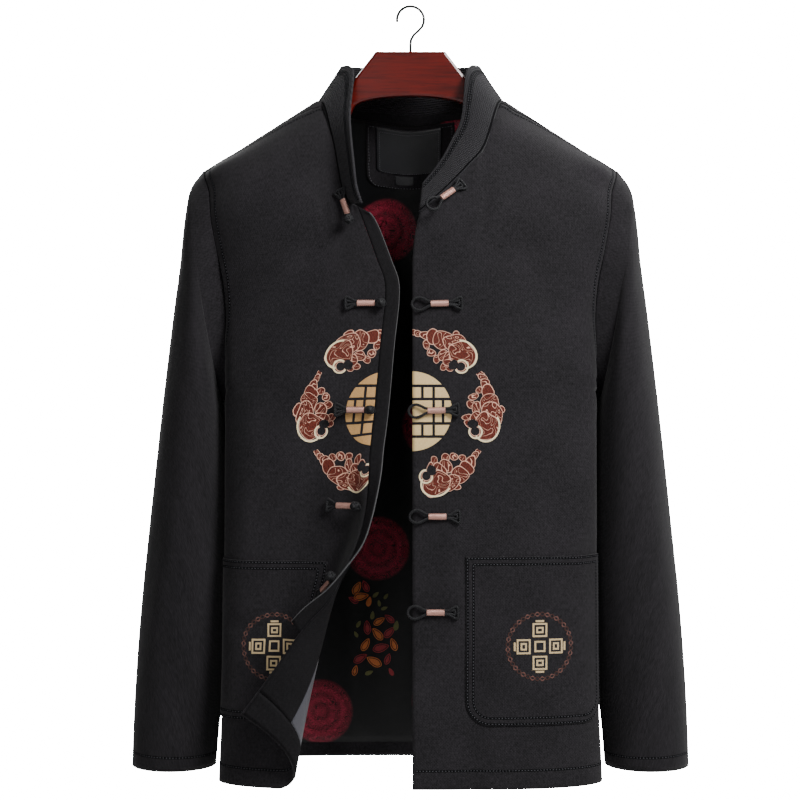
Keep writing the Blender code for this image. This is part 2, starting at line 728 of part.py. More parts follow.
def girth_clear(girth, limit, near, width):
    """Draws the near side of a pocket off the turned corner, and leaves its far side in place."""
    far = near + width
    push = max(limit - near, 0.0)
    return girth + push * (far - girth) / (far - near)


# ---------------------------------------------------------------- frogs

def cord_path(points, cyclic):
    curve = bpy.data.curves.new("cord", "CURVE")
    curve.dimensions = "3D"
    curve.bevel_depth = CORD * MM
    curve.bevel_resolution = 1
    curve.use_fill_caps = True
    spline = curve.splines.new("POLY")
    spline.points.add(len(points) - 1)
    for point, place in zip(spline.points, points):
        point.co = (*(value * MM for value in place), 1.0)
    spline.use_cyclic_u = cyclic
    holder = bpy.data.objects.new("cord", curve)
    COLLECTION.objects.link(holder)
    depsgraph = bpy.context.evaluated_depsgraph_get()
    data = bpy.data.meshes.new_from_object(holder.evaluated_get(depsgraph))
    bpy.data.objects.remove(holder)
    mesh = bmesh.new()
    mesh.from_mesh(data)
    bmesh.ops.remove_doubles(mesh, verts=mesh.verts[:], dist=1e-5)
    bmesh.ops.recalc_face_normals(mesh, faces=mesh.faces[:])
    mesh.to_mesh(data)
    mesh.free()
    return data


def strand(loop_radius, start, shorter=0.0):
    """One edge of a frog's closed cord: round the inner end, along the bar, round the fan."""
    waist = CORD + 0.35
    arc = [(loop_radius * (1 - math.cos(a)), loop_radius * 0.85 * math.sin(a))
           for a in np.linspace(0, 2.2, 6)] if loop_radius else [(start, waist)]
    fan = [(42.0, waist), (46.0, 3.6), (50.0, 5.6), (FROG_LENGTH - CORD, 5.6)]
    return arc + [(x - shorter, y) for x, y in [(21.0, waist)] + fan]


def make_frogs(front, right_front):
    loop = [(x + CORD, y, CORD_HEIGHT) for x, y in strand(8.0, 0.0)]
    loop += [(x, -y, z) for x, y, z in loop[:0:-1]]
    loop_mesh = cord_path(loop, True)
    tail = [(x, y, CORD_HEIGHT) for x, y in strand(0.0, 10.5, KNOT_SHORTER)]
    tail += [(x, -y, z) for x, y, z in tail[::-1]]
    knot_mesh = with_knot(cord_path(tail, True))
    for kind, sheet, step, mesh, shorter, table in (
            ("loop", front, 1, loop_mesh, 0.0, LOOPS),
            ("knot", right_front, -1, knot_mesh, KNOT_SHORTER, KNOTS)):
        heights = sheet.p[:, 0, 2] if kind == "loop" else panel_heights(right_front)
        for i, (height, start, slope, raised) in enumerate(table, 1):
            row = np.interp(height, heights, range(len(heights)))
            frame = frog_frame(sheet, row, start, step, slope, raised)
            place_cord("frog_%s_%d" % (kind, i), mesh, frame)
            make_wrap("wrap_%s_%d" % (kind, i), frame, shorter)


def with_knot(tail):
    """Joins the ball knot to the two strands behind it."""
    holder = bpy.data.objects.new("tail", tail)
    COLLECTION.objects.link(holder)
    bpy.ops.mesh.primitive_uv_sphere_add(segments=12, ring_count=8, radius=KNOT * MM,
                                         location=((KNOT + 0.7) * MM, 0, CORD_HEIGHT * MM + KNOT_RAISE * MM))
    ball = bpy.context.object
    union = holder.modifiers.new("knot", "BOOLEAN")
    union.operation = "UNION"
    union.object = ball
    depsgraph = bpy.context.evaluated_depsgraph_get()
    data = bpy.data.meshes.new_from_object(holder.evaluated_get(depsgraph))
    bpy.data.objects.remove(ball)
    bpy.data.objects.remove(holder)
    return data


def frog_frame(sheet, row, start, step, turn, raised):
    """Where a frog lies: its origin, along, across and off the cloth."""
    places = [sample(sheet, row, column_from_edge(sheet, row, start + FROG_LENGTH * t, step))
              for t in (0.0, 0.25, 0.5, 0.75, 1.0)]
    first, last = places[0][0], places[-1][0]
    along = Vector(last - first)
    along.z = 0.0
    along.normalize()
    normal = Vector(sum(normal for _, normal in places))
    normal = (normal - along * normal.dot(along)).normalized()
    bulge = max((Vector(point - first)).dot(normal) for point, _ in places)
    along = Matrix.Rotation(math.radians(turn) * step, 3, normal) @ along
    origin = Vector(first) + normal * (CLOTH + FROG_LIFT + bulge + raised)
    frame = Matrix((along, normal.cross(along), normal)).transposed().to_4x4()
    frame.translation = origin * MM
    return frame


def place_cord(name, mesh, frame):
    cord = bpy.data.objects.new(name, mesh)
    cord.matrix_world = frame
    COLLECTION.objects.link(cord)
    mesh.materials.clear()
    mesh.materials.append(material("frog cord", "cord"))


def make_wrap(name, frame, shorter):
    """The thread wrapped round a frog's two strands: a thin oval tube."""
    half = CORD * 2 + 0.35
    sides = []
    for off in (0.3, 0.3 + WRAP_WALL):
        ring = [(1.12 * (half + off) * math.cos(a), CORD_HEIGHT + 1.12 * (CORD + off) * math.sin(a))
                for a in np.linspace(0, 2 * math.pi, 12, endpoint=False)]
        sides.append(np.array([[(x - shorter, y, z) for y, z in ring] for x in WRAP]))
    tube = wall(name, *sides, "thread", closed=True)
    tube.matrix_world = frame


# ---------------------------------------------------------------- hanger

def make_hanger():
    neck_x, tip_x = 99.0, 231.0

    def arm_top(x):
        t = (x - neck_x) / (tip_x - neck_x)
        at_neck, at_tip = WOOD_CLEARANCE
        return NECK_POINT - at_neck + (SHOULDER_TIP - at_tip - NECK_POINT + at_neck) * t

    end_x, end_z, rise = ARCH
    tip = arm_top(WOOD_TIP - 8)
    half = [(WOOD_CROWN, WOOD_TOP), WOOD_SHOULDER, (WOOD_SHOULDER[0] + 8, arm_top(WOOD_SHOULDER[0] + 8)),
            (WOOD_TIP - 8, tip), (WOOD_TIP, tip - 9), (WOOD_TIP, tip - TIP_DEPTH + 6),
            (WOOD_TIP - 6, tip - TIP_DEPTH), (end_x + 10, arm_top(end_x + 10) - ARM_DEPTH)]
    arch = [(end_x * math.cos(a), end_z + rise * math.sin(a)) for a in np.linspace(0, math.pi / 2, 7)]
    outline = half + arch
    outline += [(-x, z) for x, z in outline[-2::-1]]
    curve = bpy.data.curves.new("hanger", "CURVE")
    curve.dimensions = "2D"
    curve.fill_mode = "BOTH"
    curve.extrude = (WOOD_THICK / 2 - WOOD_EDGE) * MM
    curve.bevel_depth = WOOD_EDGE * MM
    curve.bevel_resolution = 1
    curve.offset = -WOOD_EDGE * MM
    spline = curve.splines.new("POLY")
    spline.points.add(len(outline) - 1)
    for point, (x, z) in zip(spline.points, outline):
        point.co = (x * MM, z * MM, 0.0, 1.0)
    spline.use_cyclic_u = True
    to_mesh("hanger", curve, "wood", Matrix.Rotation(math.pi / 2, 4, "X"))


def make_hook():
    centre = HOOK_WIRE - HOOK_RADIUS
    stem = [(0.0, WOOD_TOP + SEAM_GAP), (0.0, -42.0), (0.6, -36.0), (4.0, -30.5), (9.0, -26.0)]
    arc = [(HOOK_RADIUS * math.cos(a), centre + HOOK_RADIUS * math.sin(a))
           for a in np.radians(np.linspace(-35, 190, 16))]
    curve = bpy.data.curves.new("hook", "CURVE")
    curve.dimensions = "3D"
    curve.bevel_depth = HOOK_WIRE * MM
    curve.bevel_resolution = 2
    curve.use_fill_caps = True
    spline = curve.splines.new("POLY")
    spline.points.add(len(stem) + len(arc) - 1)
    for point, (x, z) in zip(spline.points, stem + arc):
        point.co = (x * MM, 0.0, z * MM, 1.0)
    to_mesh("hook", curve, "wire", Matrix())


def to_mesh(name, curve, kind, turn):
    holder = bpy.data.objects.new(name + " curve", curve)
    COLLECTION.objects.link(holder)
    depsgraph = bpy.context.evaluated_depsgraph_get()
    data = bpy.data.meshes.new_from_object(holder.evaluated_get(depsgraph))
    bpy.data.objects.remove(holder)
    mesh = bmesh.new()
    mesh.from_mesh(data)
    bmesh.ops.transform(mesh, matrix=turn, verts=mesh.verts[:])
    bmesh.ops.remove_doubles(mesh, verts=mesh.verts[:], dist=1e-5)
    bmesh.ops.recalc_face_normals(mesh, faces=mesh.faces[:])
    finish(name, mesh, kind)


def material(name, kind):
    colour, roughness, metallic = COLOURS[kind]
    made = bpy.data.materials.new(name)
    made.use_nodes = True
    shader = made.node_tree.nodes["Principled BSDF"]
    shader.inputs["Base Color"].default_value = (*colour, 1.0)
    shader.inputs["Roughness"].default_value = roughness
    shader.inputs["Metallic"].default_value = metallic
    return made


def main():
    front, right_front, back, sleeve, collar = jacket_sheets()
    cloth("back", back)
    cloth("front_left", front)
    cloth("front_right", right_front)
    cloth("sleeve_left", sleeve, closed=True, gap=SLEEVE_GAP)
    cloth("sleeve_right", sleeve.mirrored(), closed=True, gap=SLEEVE_GAP)
    cloth("collar", collar, thickness=COLLAR_WALL, gap=COLLAR_GAP)
    make_strip(right_front)
    make_turned_corner(right_front)
    make_back_inside(back)
    make_pockets()
    make_frogs(front, right_front)
    make_hanger()
    make_hook()


for leftover in list(bpy.data.objects):
    bpy.data.objects.remove(leftover)
COLLECTION = bpy.data.collections.new("tang jacket")
bpy.context.scene.collection.children.link(COLLECTION)
main()
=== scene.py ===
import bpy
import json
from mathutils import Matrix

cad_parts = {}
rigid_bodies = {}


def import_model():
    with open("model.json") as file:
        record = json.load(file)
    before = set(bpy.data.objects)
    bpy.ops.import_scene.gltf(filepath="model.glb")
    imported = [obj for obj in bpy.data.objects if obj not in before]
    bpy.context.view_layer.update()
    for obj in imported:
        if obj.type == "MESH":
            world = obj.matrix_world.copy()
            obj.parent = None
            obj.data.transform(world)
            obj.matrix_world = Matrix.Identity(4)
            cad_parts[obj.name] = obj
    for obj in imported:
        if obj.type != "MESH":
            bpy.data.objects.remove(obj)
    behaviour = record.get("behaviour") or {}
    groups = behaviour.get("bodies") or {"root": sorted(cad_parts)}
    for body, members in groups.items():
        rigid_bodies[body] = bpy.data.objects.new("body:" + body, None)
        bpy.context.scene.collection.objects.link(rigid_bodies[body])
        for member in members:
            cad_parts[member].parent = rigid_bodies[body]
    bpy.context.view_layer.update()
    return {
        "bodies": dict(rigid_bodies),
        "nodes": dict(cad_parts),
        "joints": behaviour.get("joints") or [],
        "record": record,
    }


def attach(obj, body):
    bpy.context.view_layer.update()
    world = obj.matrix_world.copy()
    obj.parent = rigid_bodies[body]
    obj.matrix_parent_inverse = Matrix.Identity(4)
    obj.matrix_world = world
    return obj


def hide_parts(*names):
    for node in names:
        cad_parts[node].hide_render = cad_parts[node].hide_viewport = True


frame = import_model()

import json
import math

import bmesh
import bpy
import numpy as np
from bpy.props import FloatProperty, FloatVectorProperty, PointerProperty
from mathutils import Matrix, Vector

bl_info = {
    "name": "Tang jacket",
    "version": (1, 0, 0),
    "blender": (4, 5, 0),
    "location": "View3D > Sidebar > Jacket",
    "description": "Builds a lined tang jacket hung open on a wooden hanger",
    "category": "Object",
}

MM = 0.001              # sizes below are in millimetres


# Driving dimensions (mm)
HEM = -854.0            # height of the hem
ARMPIT = -435.0         # height of the underarm point
SHOULDER_TIP = -189.0   # height of the end of the shoulder seam
NECK_POINT = -103.0     # height of the shoulder seam at the neck
SEAM_FORWARD = (16.0, 5.0)   # shoulder seam ahead of the ridge: at the neck, at the tip
ARMHOLE_DEPTH = 50.0    # half of the armhole from front to back
CLOTH = 2.0             # wall of the jacket cloth
STRIP_WIDTH = 15.0      # underlap strip beyond the front edge
STRIP_END = -742.0      # height on the panel at which the strip ends
BACK_NECK = -113.0      # height of the neck seam at the centre back
NAPE_RISE = 5.0         # of the neck seam over the shoulder
SEAM_WIDTH = (97.0, 229.5)   # shoulder seam across: at the neck, at the tip
RIDGE_START = 106.0     # where the back's rows leave the neck seam
TUCK_SHARPNESS = 30     # the higher, the narrower the tuck down the side
FACING_WIDTH = 50.0     # facing along the turned edge
PIPING = 0.75           # radius of the edge's piping
HEM_BAND = 0.92         # top of the hem band, in rows of the panel
COLLAR_WALL = 2.6       # wall of the collar, with its interlining

# Rows and columns of the panels
LOW_ROWS = 13           # from hem to underarm
ARM_ROWS = 10           # from underarm to shoulder
NECK_COLUMNS = 5        # along a front's neckline
NAPE_COLUMNS = 4        # along half of the back's neckline
SHOULDER_COLUMNS = 7    # along the shoulder seam
FLAP_COLUMNS = 9        # across the part of the right front that turns
SLEEVE_ROWS = 15        # from the armhole to the cuff

MIRROR = np.array([-1.0, 1.0, 1.0])


class Table:
    """Smooth curves through a table's rows, read by its first column."""

    def __init__(self, columns, *rows):
        data = np.array(sorted(rows), float)
        self.columns = columns.split()[1:]
        self.key, self.data = data[:, 0], data[:, 1:]
        step = np.diff(self.key)[:, None]
        rise = np.diff(self.data, axis=0) / step
        slope = np.zeros_like(self.data)
        before, after = rise[:-1], rise[1:]
        level = before * after <= 0.0
        slope[1:-1] = np.where(level, 0.0, 2 * before * after / np.where(level, 1.0, before + after))
        slope[0], slope[-1] = rise[0], rise[-1]
        self.slope = slope

    def at(self, key):
        key = min(max(key, self.key[0]), self.key[-1])
        i = min(int(np.searchsorted(self.key, key, "right")) - 1, len(self.key) - 2)
        span = self.key[i + 1] - self.key[i]
        t = (key - self.key[i]) / span
        a, b = self.data[i], self.data[i + 1]
        ease = t * t * (3 - 2 * t)
        start, end = t * (1 - t) ** 2 * span, t * t * (t - 1) * span
        return a + (b - a) * ease + self.slope[i] * start + self.slope[i + 1] * end


# Cross-sections of the trunk: half width, reach to front and back, squareness of the oval, and
# how far the side is tucked in where the sleeve hangs.
TRUNK = Table(
    "height half front back square tuck",
    (-103, 99, 18, 54, 2.2, 0),
    (-136, 150, 46, 62, 2.3, 0),
    (-167, 198, 63, 69, 2.4, 0),
    (-189, 231, 74, 74, 2.5, 0),
    (-240, 231, 94, 82, 2.7, 0),
    (-316, 216, 98, 88, 2.9, 0),
    (-363, 208, 99, 90, 3.2, 3),
    (-435, 210, 99, 91, 3.5, 14),
    (-600, 211, 99, 92, 3.6, 18),
    (-730, 212, 100, 92, 3.6, 15),
    (-854, 215, 101, 92, 3.6, 8),
)

# Neckline of each front, from its front end to near the shoulder: place across and height.
NECKLINE_LEFT = Table(
    "station x height",
    (0, 9, -240), (1, 27, -224), (2, 45, -206.5), (3, 63, -187), (4, 81, -164), (5, 99, -103),
)
NECKLINE_RIGHT = Table(
    "station x height",
    (0, 63, -229), (1, 72, -211), (2, 77, -188), (3, 82, -162), (4, 89, -136), (5, 99, -103),
)

# From the neck seam to the collar's top edge, by station from a front end to the centre back:
# inward, back and up.
COLLAR_LEFT = Table(
    "station inward back up",
    (0, -4, 24, 34), (1, 1, 27, 34), (2, 9, 26, 32), (3, 17, 25, 33), (4, 25, 21, 35),
    (5, 35, 8, 41), (6, 28, -2, 45), (7, 15, -7, 47), (8, 5, -9, 49), (9, 0, -10, 50),
)
COLLAR_RIGHT = Table(
    "station inward back up",
    (0, 12, -28, -2), (1, 15, -29, 0), (2, 17, -30, 3), (3, 19, -29, 4), (4, 24, -23, 10),
    (5, 34, 2, 40), (6, 28, -2, 45), (7, 15, -7, 47), (8, 5, -9, 49), (9, 0, -10, 50),
)

# The left front's edge: place across, by height.
EDGE_LEFT = Table("height x", (-854, 1.5), (-310, 1.5), (-275, 2.5), (-240, 9))

# The right front, by height on the flat panel: where its turn begins, the middle of the turn, and
# where its edge comes to lie: across, toward the viewer, and height.
TURN = Table(
    "panel_height start middle edge_x edge_y edge_height",
    (-854, -140, -125, -178, -138, -768),
    (-800, -128, -114, -145, -143, -723),
    (-731, -113, -99, -111, -147, -675),
    (-697, -104, -91, -90, -148, -653),
    (-659, -96, -82, -72, -147, -624),
    (-622, -87, -72, -57, -143, -594),
    (-588, -83, -62, -49, -134, -567),
    (-550, -80, -57, -45, -122, -538),
    (-506, -80, -58, -44, -108, -500),
    (-450, -74, -56, -39, -102, -449),
    (-380, -64, -47, -33, -100, -380),
    (-320, -58, -42, -27.5, -98, -320),
    (-281, -62, -51, -39.5, -96.5, -281),
    (-229, -63, -60, -57, -94.5, -232),
)

# Sleeve sections: outer and inner edge across and in height, half depth, and centre front to back.
SLEEVE = Table(
    "station outer_x outer_z inner_x inner_z depth middle",
    (1, 243, -203, 211, -438, 58, 0),
    (2, 249.5, -232, 210, -449, 66, 2),
    (3, 254, -278, 206.5, -467, 73, 3),
    (4, 262, -340, 204.5, -491, 77, 4),
    (5, 271, -412, 202.5, -527, 78, 5),
    (6, 280, -490, 201, -568, 77, 6),
    (7, 288, -562, 200.5, -616, 74, 6),
    (8, 296, -634, 202.5, -668, 69, 6),
    (9, 302.5, -706, 207, -724, 62, 6),
    (10, 307, -776, 214, -783, 55, 5),
    (11, 309.5, -846, 219.5, -846, 49, 4),
)

# Frogs: height on the panel, distance of the inner end from the front edge, slope, and how much
# higher it lies where its cloth turns.
LOOPS = ((-246, 4, 35.0, 0.9), (-336, -3, 1.5, 0.0), (-451, -6, 1.5, 0.0), (-563, -5, 0.0, 0.0),
         (-665, -7, 0.0, 0.0))
KNOTS = ((-256, 8, 63.0, 0.6), (-336, -3, 0.0, 0.0), (-451, -3, 0.0, 0.0), (-563, 6, 0.0, -2.1),
         (-665, -8, -40.0, 1.2))
FROG_LENGTH = 55.0      # from its inner end to the fan's
KNOT_SHORTER = 9.0      # by which a knot's cord is shorter than a loop's
CORD = 1.9              # radius of a frog's cord
CORD_HEIGHT = 3.2       # of the cord's middle above the cloth
LOOP_RADIUS = 8.0       # half length of the loop round the other side's knot
KNOT = 5.8              # radius of a ball knot
KNOT_START = 8.5        # from the ball's outer side to where its two strands part from it
WRAP = (22.0, 41.0)     # thread wrap along the frog
WRAP_TURNS = 21
WRAP_HALF = (3.25, 2.1) # half of the wrap across, and off the cloth
FROG_LIFT = 0.35
KNOT_RAISE = 2.8        # of the ball above the cord
PLY = 0.92              # radius of a ply, how far it lies from the cord's middle, and its lay
PLY_OUT = 0.72
LAY = 6.5
BALL_CORD = 1.45        # radius of the cord laid round a ball

# Pockets: side, near edge along the cloth from the middle of the front, width, top and bottom
POCKETS = (("left", 58.0, 157.0, -606.0, -786.0), ("right", 86.0, 170.0, -611.0, -782.0))
POCKET_CORNER = 27.0    # radius of the lower corners

# Inside the back neck: place across, half width, top, bottom, corner radius, material, slot, depth in
# from the back's inner face and wall
INSIDE_NECK = (
    ("neck_facing", 0, 51, -126, -195, 12, "cloth", "jacket_cloth", 1.9, 0.9),
    ("label", -1.4, 38, -129, -178.5, 4, "satin", "label_satin", 3.3, 0.4),
    ("size_tab", -6.5, 10.6, -181, -191, 3, "satin", "label_satin", 3.3, 0.4),
)


# ---------------------------------------------------------------- the trunk

def quarter(half, reach, square, tuck):
    """A quarter of a section, from the middle of a face to the side: x, depth and length."""
    turn = np.linspace(0.0, math.pi / 2, 129)
    sine, cosine = np.sin(turn), np.clip(np.cos(turn), 0.0, 1.0)
    x = half * sine ** (2 / square) - tuck * sine ** TUCK_SHARPNESS
    depth = reach * cosine ** (2 / square)
    length = np.concatenate([[0.0], np.cumsum(np.hypot(np.diff(x), np.diff(depth)))])
    return x, depth, length


def section(height):
    """The half section at a height, from the middle of the front: x, y, girth and side girth."""
    half, front, back, square, tuck = TRUNK.at(height)
    x_front, y_front, front_length = quarter(half, front, square, tuck)
    x_back, y_back, back_length = quarter(half, back, square, tuck)
    x = np.concatenate([x_front, x_back[-2::-1]])
    y = np.concatenate([-y_front, y_back[-2::-1]])
    girth = np.concatenate([front_length, front_length[-1] + back_length[-1] - back_length[-2::-1]])
    return x, y, girth, front_length[-1]


def trunk(girth, height):
    x, y, lengths, _ = section(height)
    return np.array([np.interp(girth, lengths, x), np.interp(girth, lengths, y), height])


def side_girth(height):
    return section(height)[3]


def back_girth(height):
    return section(height)[2][-1]


def girth_at_depth(height, y):
    _, depths, lengths, _ = section(height)
    return float(np.interp(y, depths, lengths))


def girth_at_width(height, width):
    x, _, lengths, side = section(height)
    ahead = lengths <= side
    climb = np.maximum.accumulate(x[ahead])
    return float(np.interp(width, climb, lengths[ahead]))


# ---------------------------------------------------------------- sheets and walls

class Sheet:
    """A grid of points on a surface, rows by columns, with their outward normals."""

    def __init__(self, points, closed=False):
        self.p = np.array(points, float)
        normal = np.cross(self.slope(1, closed), self.slope(0, False))
        self.n = normal / np.maximum(np.linalg.norm(normal, axis=2, keepdims=True), 1e-9)
        self.uv = np.zeros(self.p.shape[:2] + (2,))

    def slope(self, axis, closed):
        if closed:
            return np.roll(self.p, -1, axis) - np.roll(self.p, 1, axis)
        return np.gradient(self.p, axis=axis)

    def moved(self, distance):
        return self.p + self.n * distance

    def part(self, rows, columns):
        piece = Sheet.__new__(Sheet)
        piece.p, piece.n = self.p[rows, columns].copy(), self.n[rows, columns].copy()
        piece.uv = self.uv[rows, columns].copy()
        return piece

    def mirrored(self):
        piece = Sheet.__new__(Sheet)
        piece.p, piece.n = (self.p * MIRROR)[:, ::-1], (self.n * MIRROR)[:, ::-1]
        piece.uv = self.uv[:, ::-1]
        return piece


def lengths_along(points):
    """Length from the first of a row of points to each of them."""
    return np.concatenate([[0], np.cumsum(np.linalg.norm(np.diff(points, axis=0), axis=1))])


def standing(along, normal, origin):
    """The frame of a thing that points along the cloth and up its normal, at an origin in metres."""
    made = Matrix((along, normal.cross(along), normal)).transposed().to_4x4()
    made.translation = origin
    return made


def share_normals(*edges):
    """Gives the points that two sheets share along a seam one common normal."""
    for one, other in edges:
        common = one + other
        common /= np.maximum(np.linalg.norm(common, axis=-1, keepdims=True), 1e-9)
        one[:], other[:] = common, common


# ---------------------------------------------------------------- seams

def armhole(turn, face):
    """Girth and height on the armhole; turn 0 is the shoulder, 1 the underarm; face -1 front."""
    angle = math.pi * turn
    height = (SHOULDER_TIP + ARMPIT) / 2 + (SHOULDER_TIP - ARMPIT) / 2 * math.cos(angle)
    depth = ARMHOLE_DEPTH * abs(math.sin(angle)) ** 0.8
    if face < 0:
        depth = -depth - SEAM_FORWARD[1] * (1 + math.cos(angle)) / 2
    if turn == 1:
        return side_girth(ARMPIT), ARMPIT
    if turn == 0:
        return shoulder_seam(1) if face < 0 else ridge(1)
    return girth_at_depth(height, depth), height


def ridge_height(width):
    heights = np.linspace(SHOULDER_TIP, NECK_POINT, 40)
    return float(np.interp(-width, [-TRUNK.at(height)[0] for height in heights], heights))


def shoulder_seam(t):
    """Girth and height on the shoulder seam, from the neck point to the tip."""
    width, forward = (a + (b - a) * t for a, b in (SEAM_WIDTH, SEAM_FORWARD))
    heights = np.linspace(ridge_height(width) - 30, ridge_height(width), 60)
    depths = []
    for height in heights:
        x, y, lengths, side = section(height)
        depths.append(np.interp(width, np.maximum.accumulate(x[lengths <= side]), y[lengths <= side]))
    height = float(np.interp(-forward, depths, heights))
    return girth_at_depth(height, -forward), height


def ridge(t):
    height = ridge_height(RIDGE_START + (SEAM_WIDTH[1] - RIDGE_START) * t)
    return side_girth(height), height


def neckline(table, t):
    """Girth and height on a front's neckline, from the front end to the neck point."""
    if t == 1:
        return shoulder_seam(0)
    x, height = table.at(NECK_COLUMNS * t)
    return girth_at_width(height, x), height


def nape(t, drop=0.0):
    """Girth and height on the back's neckline, from the neck point to the centre back."""
    start, height = shoulder_seam(0)
    level = height + (BACK_NECK - height) * t + NAPE_RISE * math.sin(math.pi * t) - drop
    return start + (back_girth(level) - start) * t, level


def eased(t, power=1.1):
    """Spaces columns more closely toward the side."""
    return 1 - (1 - t) ** power


# ---------------------------------------------------------------- panels

def upper_grid(bottom, top, edge, side):
    """Fills the panel above the underarm, in girth and height, from its four edges."""
    rows, columns = len(side), len(top)
    grid = np.zeros((rows, columns, 2))
    for i in range(rows):
        w = i / (rows - 1)
        for j in range(columns):
            u = j / (columns - 1)
            flat = (1 - w) * bottom[j] + w * top[j]
            at_side = side[i] - (1 - w) * bottom[-1] - w * top[-1]
            at_edge = edge[i] - (1 - w) * bottom[0] - w * top[0]
            grid[i, j] = flat + u * at_side + (1 - u) * at_edge
    return grid


def low_heights():
    return np.linspace(HEM, ARMPIT, LOW_ROWS + 1)


def front_sheet(neck_table, edge_width):
    """Girths, heights and points of a front, from its edge to its side seam and armhole."""
    columns = NECK_COLUMNS + SHOULDER_COLUMNS
    spacing = [eased(j / columns) for j in range(columns + 1)]

    def level_row(height):
        start = girth_at_width(height, edge_width(height))
        side = side_girth(height)
        return np.array([(start + (side - start) * c, height) for c in spacing])

    top = [neckline(neck_table, j / NECK_COLUMNS) for j in range(NECK_COLUMNS + 1)]
    top += [shoulder_seam(j / SHOULDER_COLUMNS) for j in range(1, SHOULDER_COLUMNS + 1)]
    edge_heights = np.linspace(ARMPIT, top[0][1], ARM_ROWS + 1)
    edge = [(girth_at_width(z, edge_width(z)), z) for z in edge_heights]
    edge[-1] = top[0]
    side = [armhole(1 - i / ARM_ROWS, -1) for i in range(ARM_ROWS + 1)]
    upper = upper_grid(level_row(ARMPIT), np.array(top), np.array(edge), np.array(side))
    lower = np.array([level_row(height) for height in low_heights()[:-1]])
    return np.concatenate([lower, upper])


def on_trunk(grid):
    return np.array([[trunk(girth, height) for girth, height in row] for row in grid])


def back_half():
    """Girths and heights of half of the back, from the side to the centre back."""
    columns = SHOULDER_COLUMNS + NAPE_COLUMNS
    spacing = [(j / columns) ** 1.1 for j in range(columns + 1)]

    def level_row(height):
        side = side_girth(height)
        return np.array([(side + (back_girth(height) - side) * c, height) for c in spacing])

    tip_to_neck = [1 - j / SHOULDER_COLUMNS for j in range(SHOULDER_COLUMNS + 1)]
    neck_to_back = [j / NAPE_COLUMNS for j in range(1, NAPE_COLUMNS + 1)]
    ridge_row = [ridge(t) for t in tip_to_neck] + [nape(t, 8.0 * t + 3.0) for t in neck_to_back]
    seam_row = [shoulder_seam(t) for t in tip_to_neck] + [nape(t) for t in neck_to_back]
    side = [armhole(1 - i / ARM_ROWS, 1) for i in range(ARM_ROWS)] + [ridge(1)]
    edge_heights = np.linspace(ARMPIT, ridge_row[-1][1], ARM_ROWS + 1)
    middle = [(back_girth(height), height) for height in edge_heights]
    bottom, top = level_row(ARMPIT)[::-1], np.array(ridge_row)[::-1]
    upper = upper_grid(bottom, top, np.array(middle), np.array(side))[:, ::-1]
    lower = np.array([level_row(height) for height in low_heights()[:-1]])
    return np.concatenate([lower, upper, [seam_row]])


def turned_front():
    """The right front in its place: the level part, then the part that rolls to its edge."""
    level = on_trunk(front_sheet(NECKLINE_RIGHT, lambda height: -TURN.at(height)[0])) * [-1, 1, 1]
    rows = []
    for row in level:
        height = min(row[0][2], TURN.key[-1])
        _, middle, edge_x, edge_y, edge_z = TURN.at(height)
        start, edge = row[0], np.array([edge_x, edge_y, edge_z])
        turn_x = (8 * middle - start[0] - edge_x) / 6
        rise = edge_z - start[2]
        first = np.array([turn_x, start[1] - 0.5, start[2] + 0.05 * rise])
        last = np.array([turn_x, edge_y + 0.15 * (start[1] - edge_y), start[2] + 0.5 * rise])
        rows.append([bezier(edge, last, first, start, j / FLAP_COLUMNS) for j in range(FLAP_COLUMNS)])
    return np.concatenate([np.array(rows), level], 1)[:, ::-1]


def bezier(a, b, c, d, t):
    s = 1 - t
    return s ** 3 * a + 3 * s * s * t * b + 3 * s * t * t * c + t ** 3 * d


def collar_sheet(left_edge, nape_edge, right_edge):
    """The stand collar, from the left front's end round the nape to the right front's end."""
    seam = np.concatenate([left_edge, nape_edge[1:-1], right_edge])
    half = NECK_COLUMNS + NAPE_COLUMNS
    top = []
    for i, point in enumerate(seam):
        inward, back, up = (COLLAR_LEFT if i <= half else COLLAR_RIGHT).at(min(i, 2 * half - i))
        top.append(point + [-inward if i <= half else inward, back, up])
    levels = np.linspace(0.0, 1.0, 4)[:, None, None]
    return Sheet(seam + (np.array(top) - seam) * levels)


def sleeve_sheet(ring):
    """The sleeve on the +X side, from the armhole's points down to the cuff."""
    angles = [math.pi * i / ARM_ROWS for i in range(ARM_ROWS + 1)]
    front = [max(angle, 0.08) for angle in angles]
    back = [2 * math.pi - angle for angle in angles[-2::-1]]
    rows = [ring]
    for station in np.linspace(1, 11, SLEEVE_ROWS):
        outer_x, outer_z, inner_x, inner_z, depth, middle = SLEEVE.at(station)
        centre = np.array([(outer_x + inner_x) / 2, middle, (outer_z + inner_z) / 2])
        spread = np.array([(outer_x - inner_x) / 2, 0.0, (outer_z - inner_z) / 2])
        rows.append([centre + spread * math.cos(a) - [0, depth * math.sin(a), 0] for a in front + back])
    return Sheet(rows, closed=True)


def sample(sheet, row, column):
    """Point, normal and flat pattern between a sheet's rows and columns."""
    i = min(max(int(math.floor(row)), 0), sheet.p.shape[0] - 2)
    j = min(max(int(math.floor(column)), 0), sheet.p.shape[1] - 2)
    s, t = row - i, column - j
    spot = []
    for values in (sheet.p, sheet.n, sheet.uv):
        low = values[i, j] * (1 - t) + values[i, j + 1] * t
        high = values[i + 1, j] * (1 - t) + values[i + 1, j + 1] * t
        spot.append(low * (1 - s) + high * s)
    return spot[0], spot[1] / np.linalg.norm(spot[1]), spot[2]


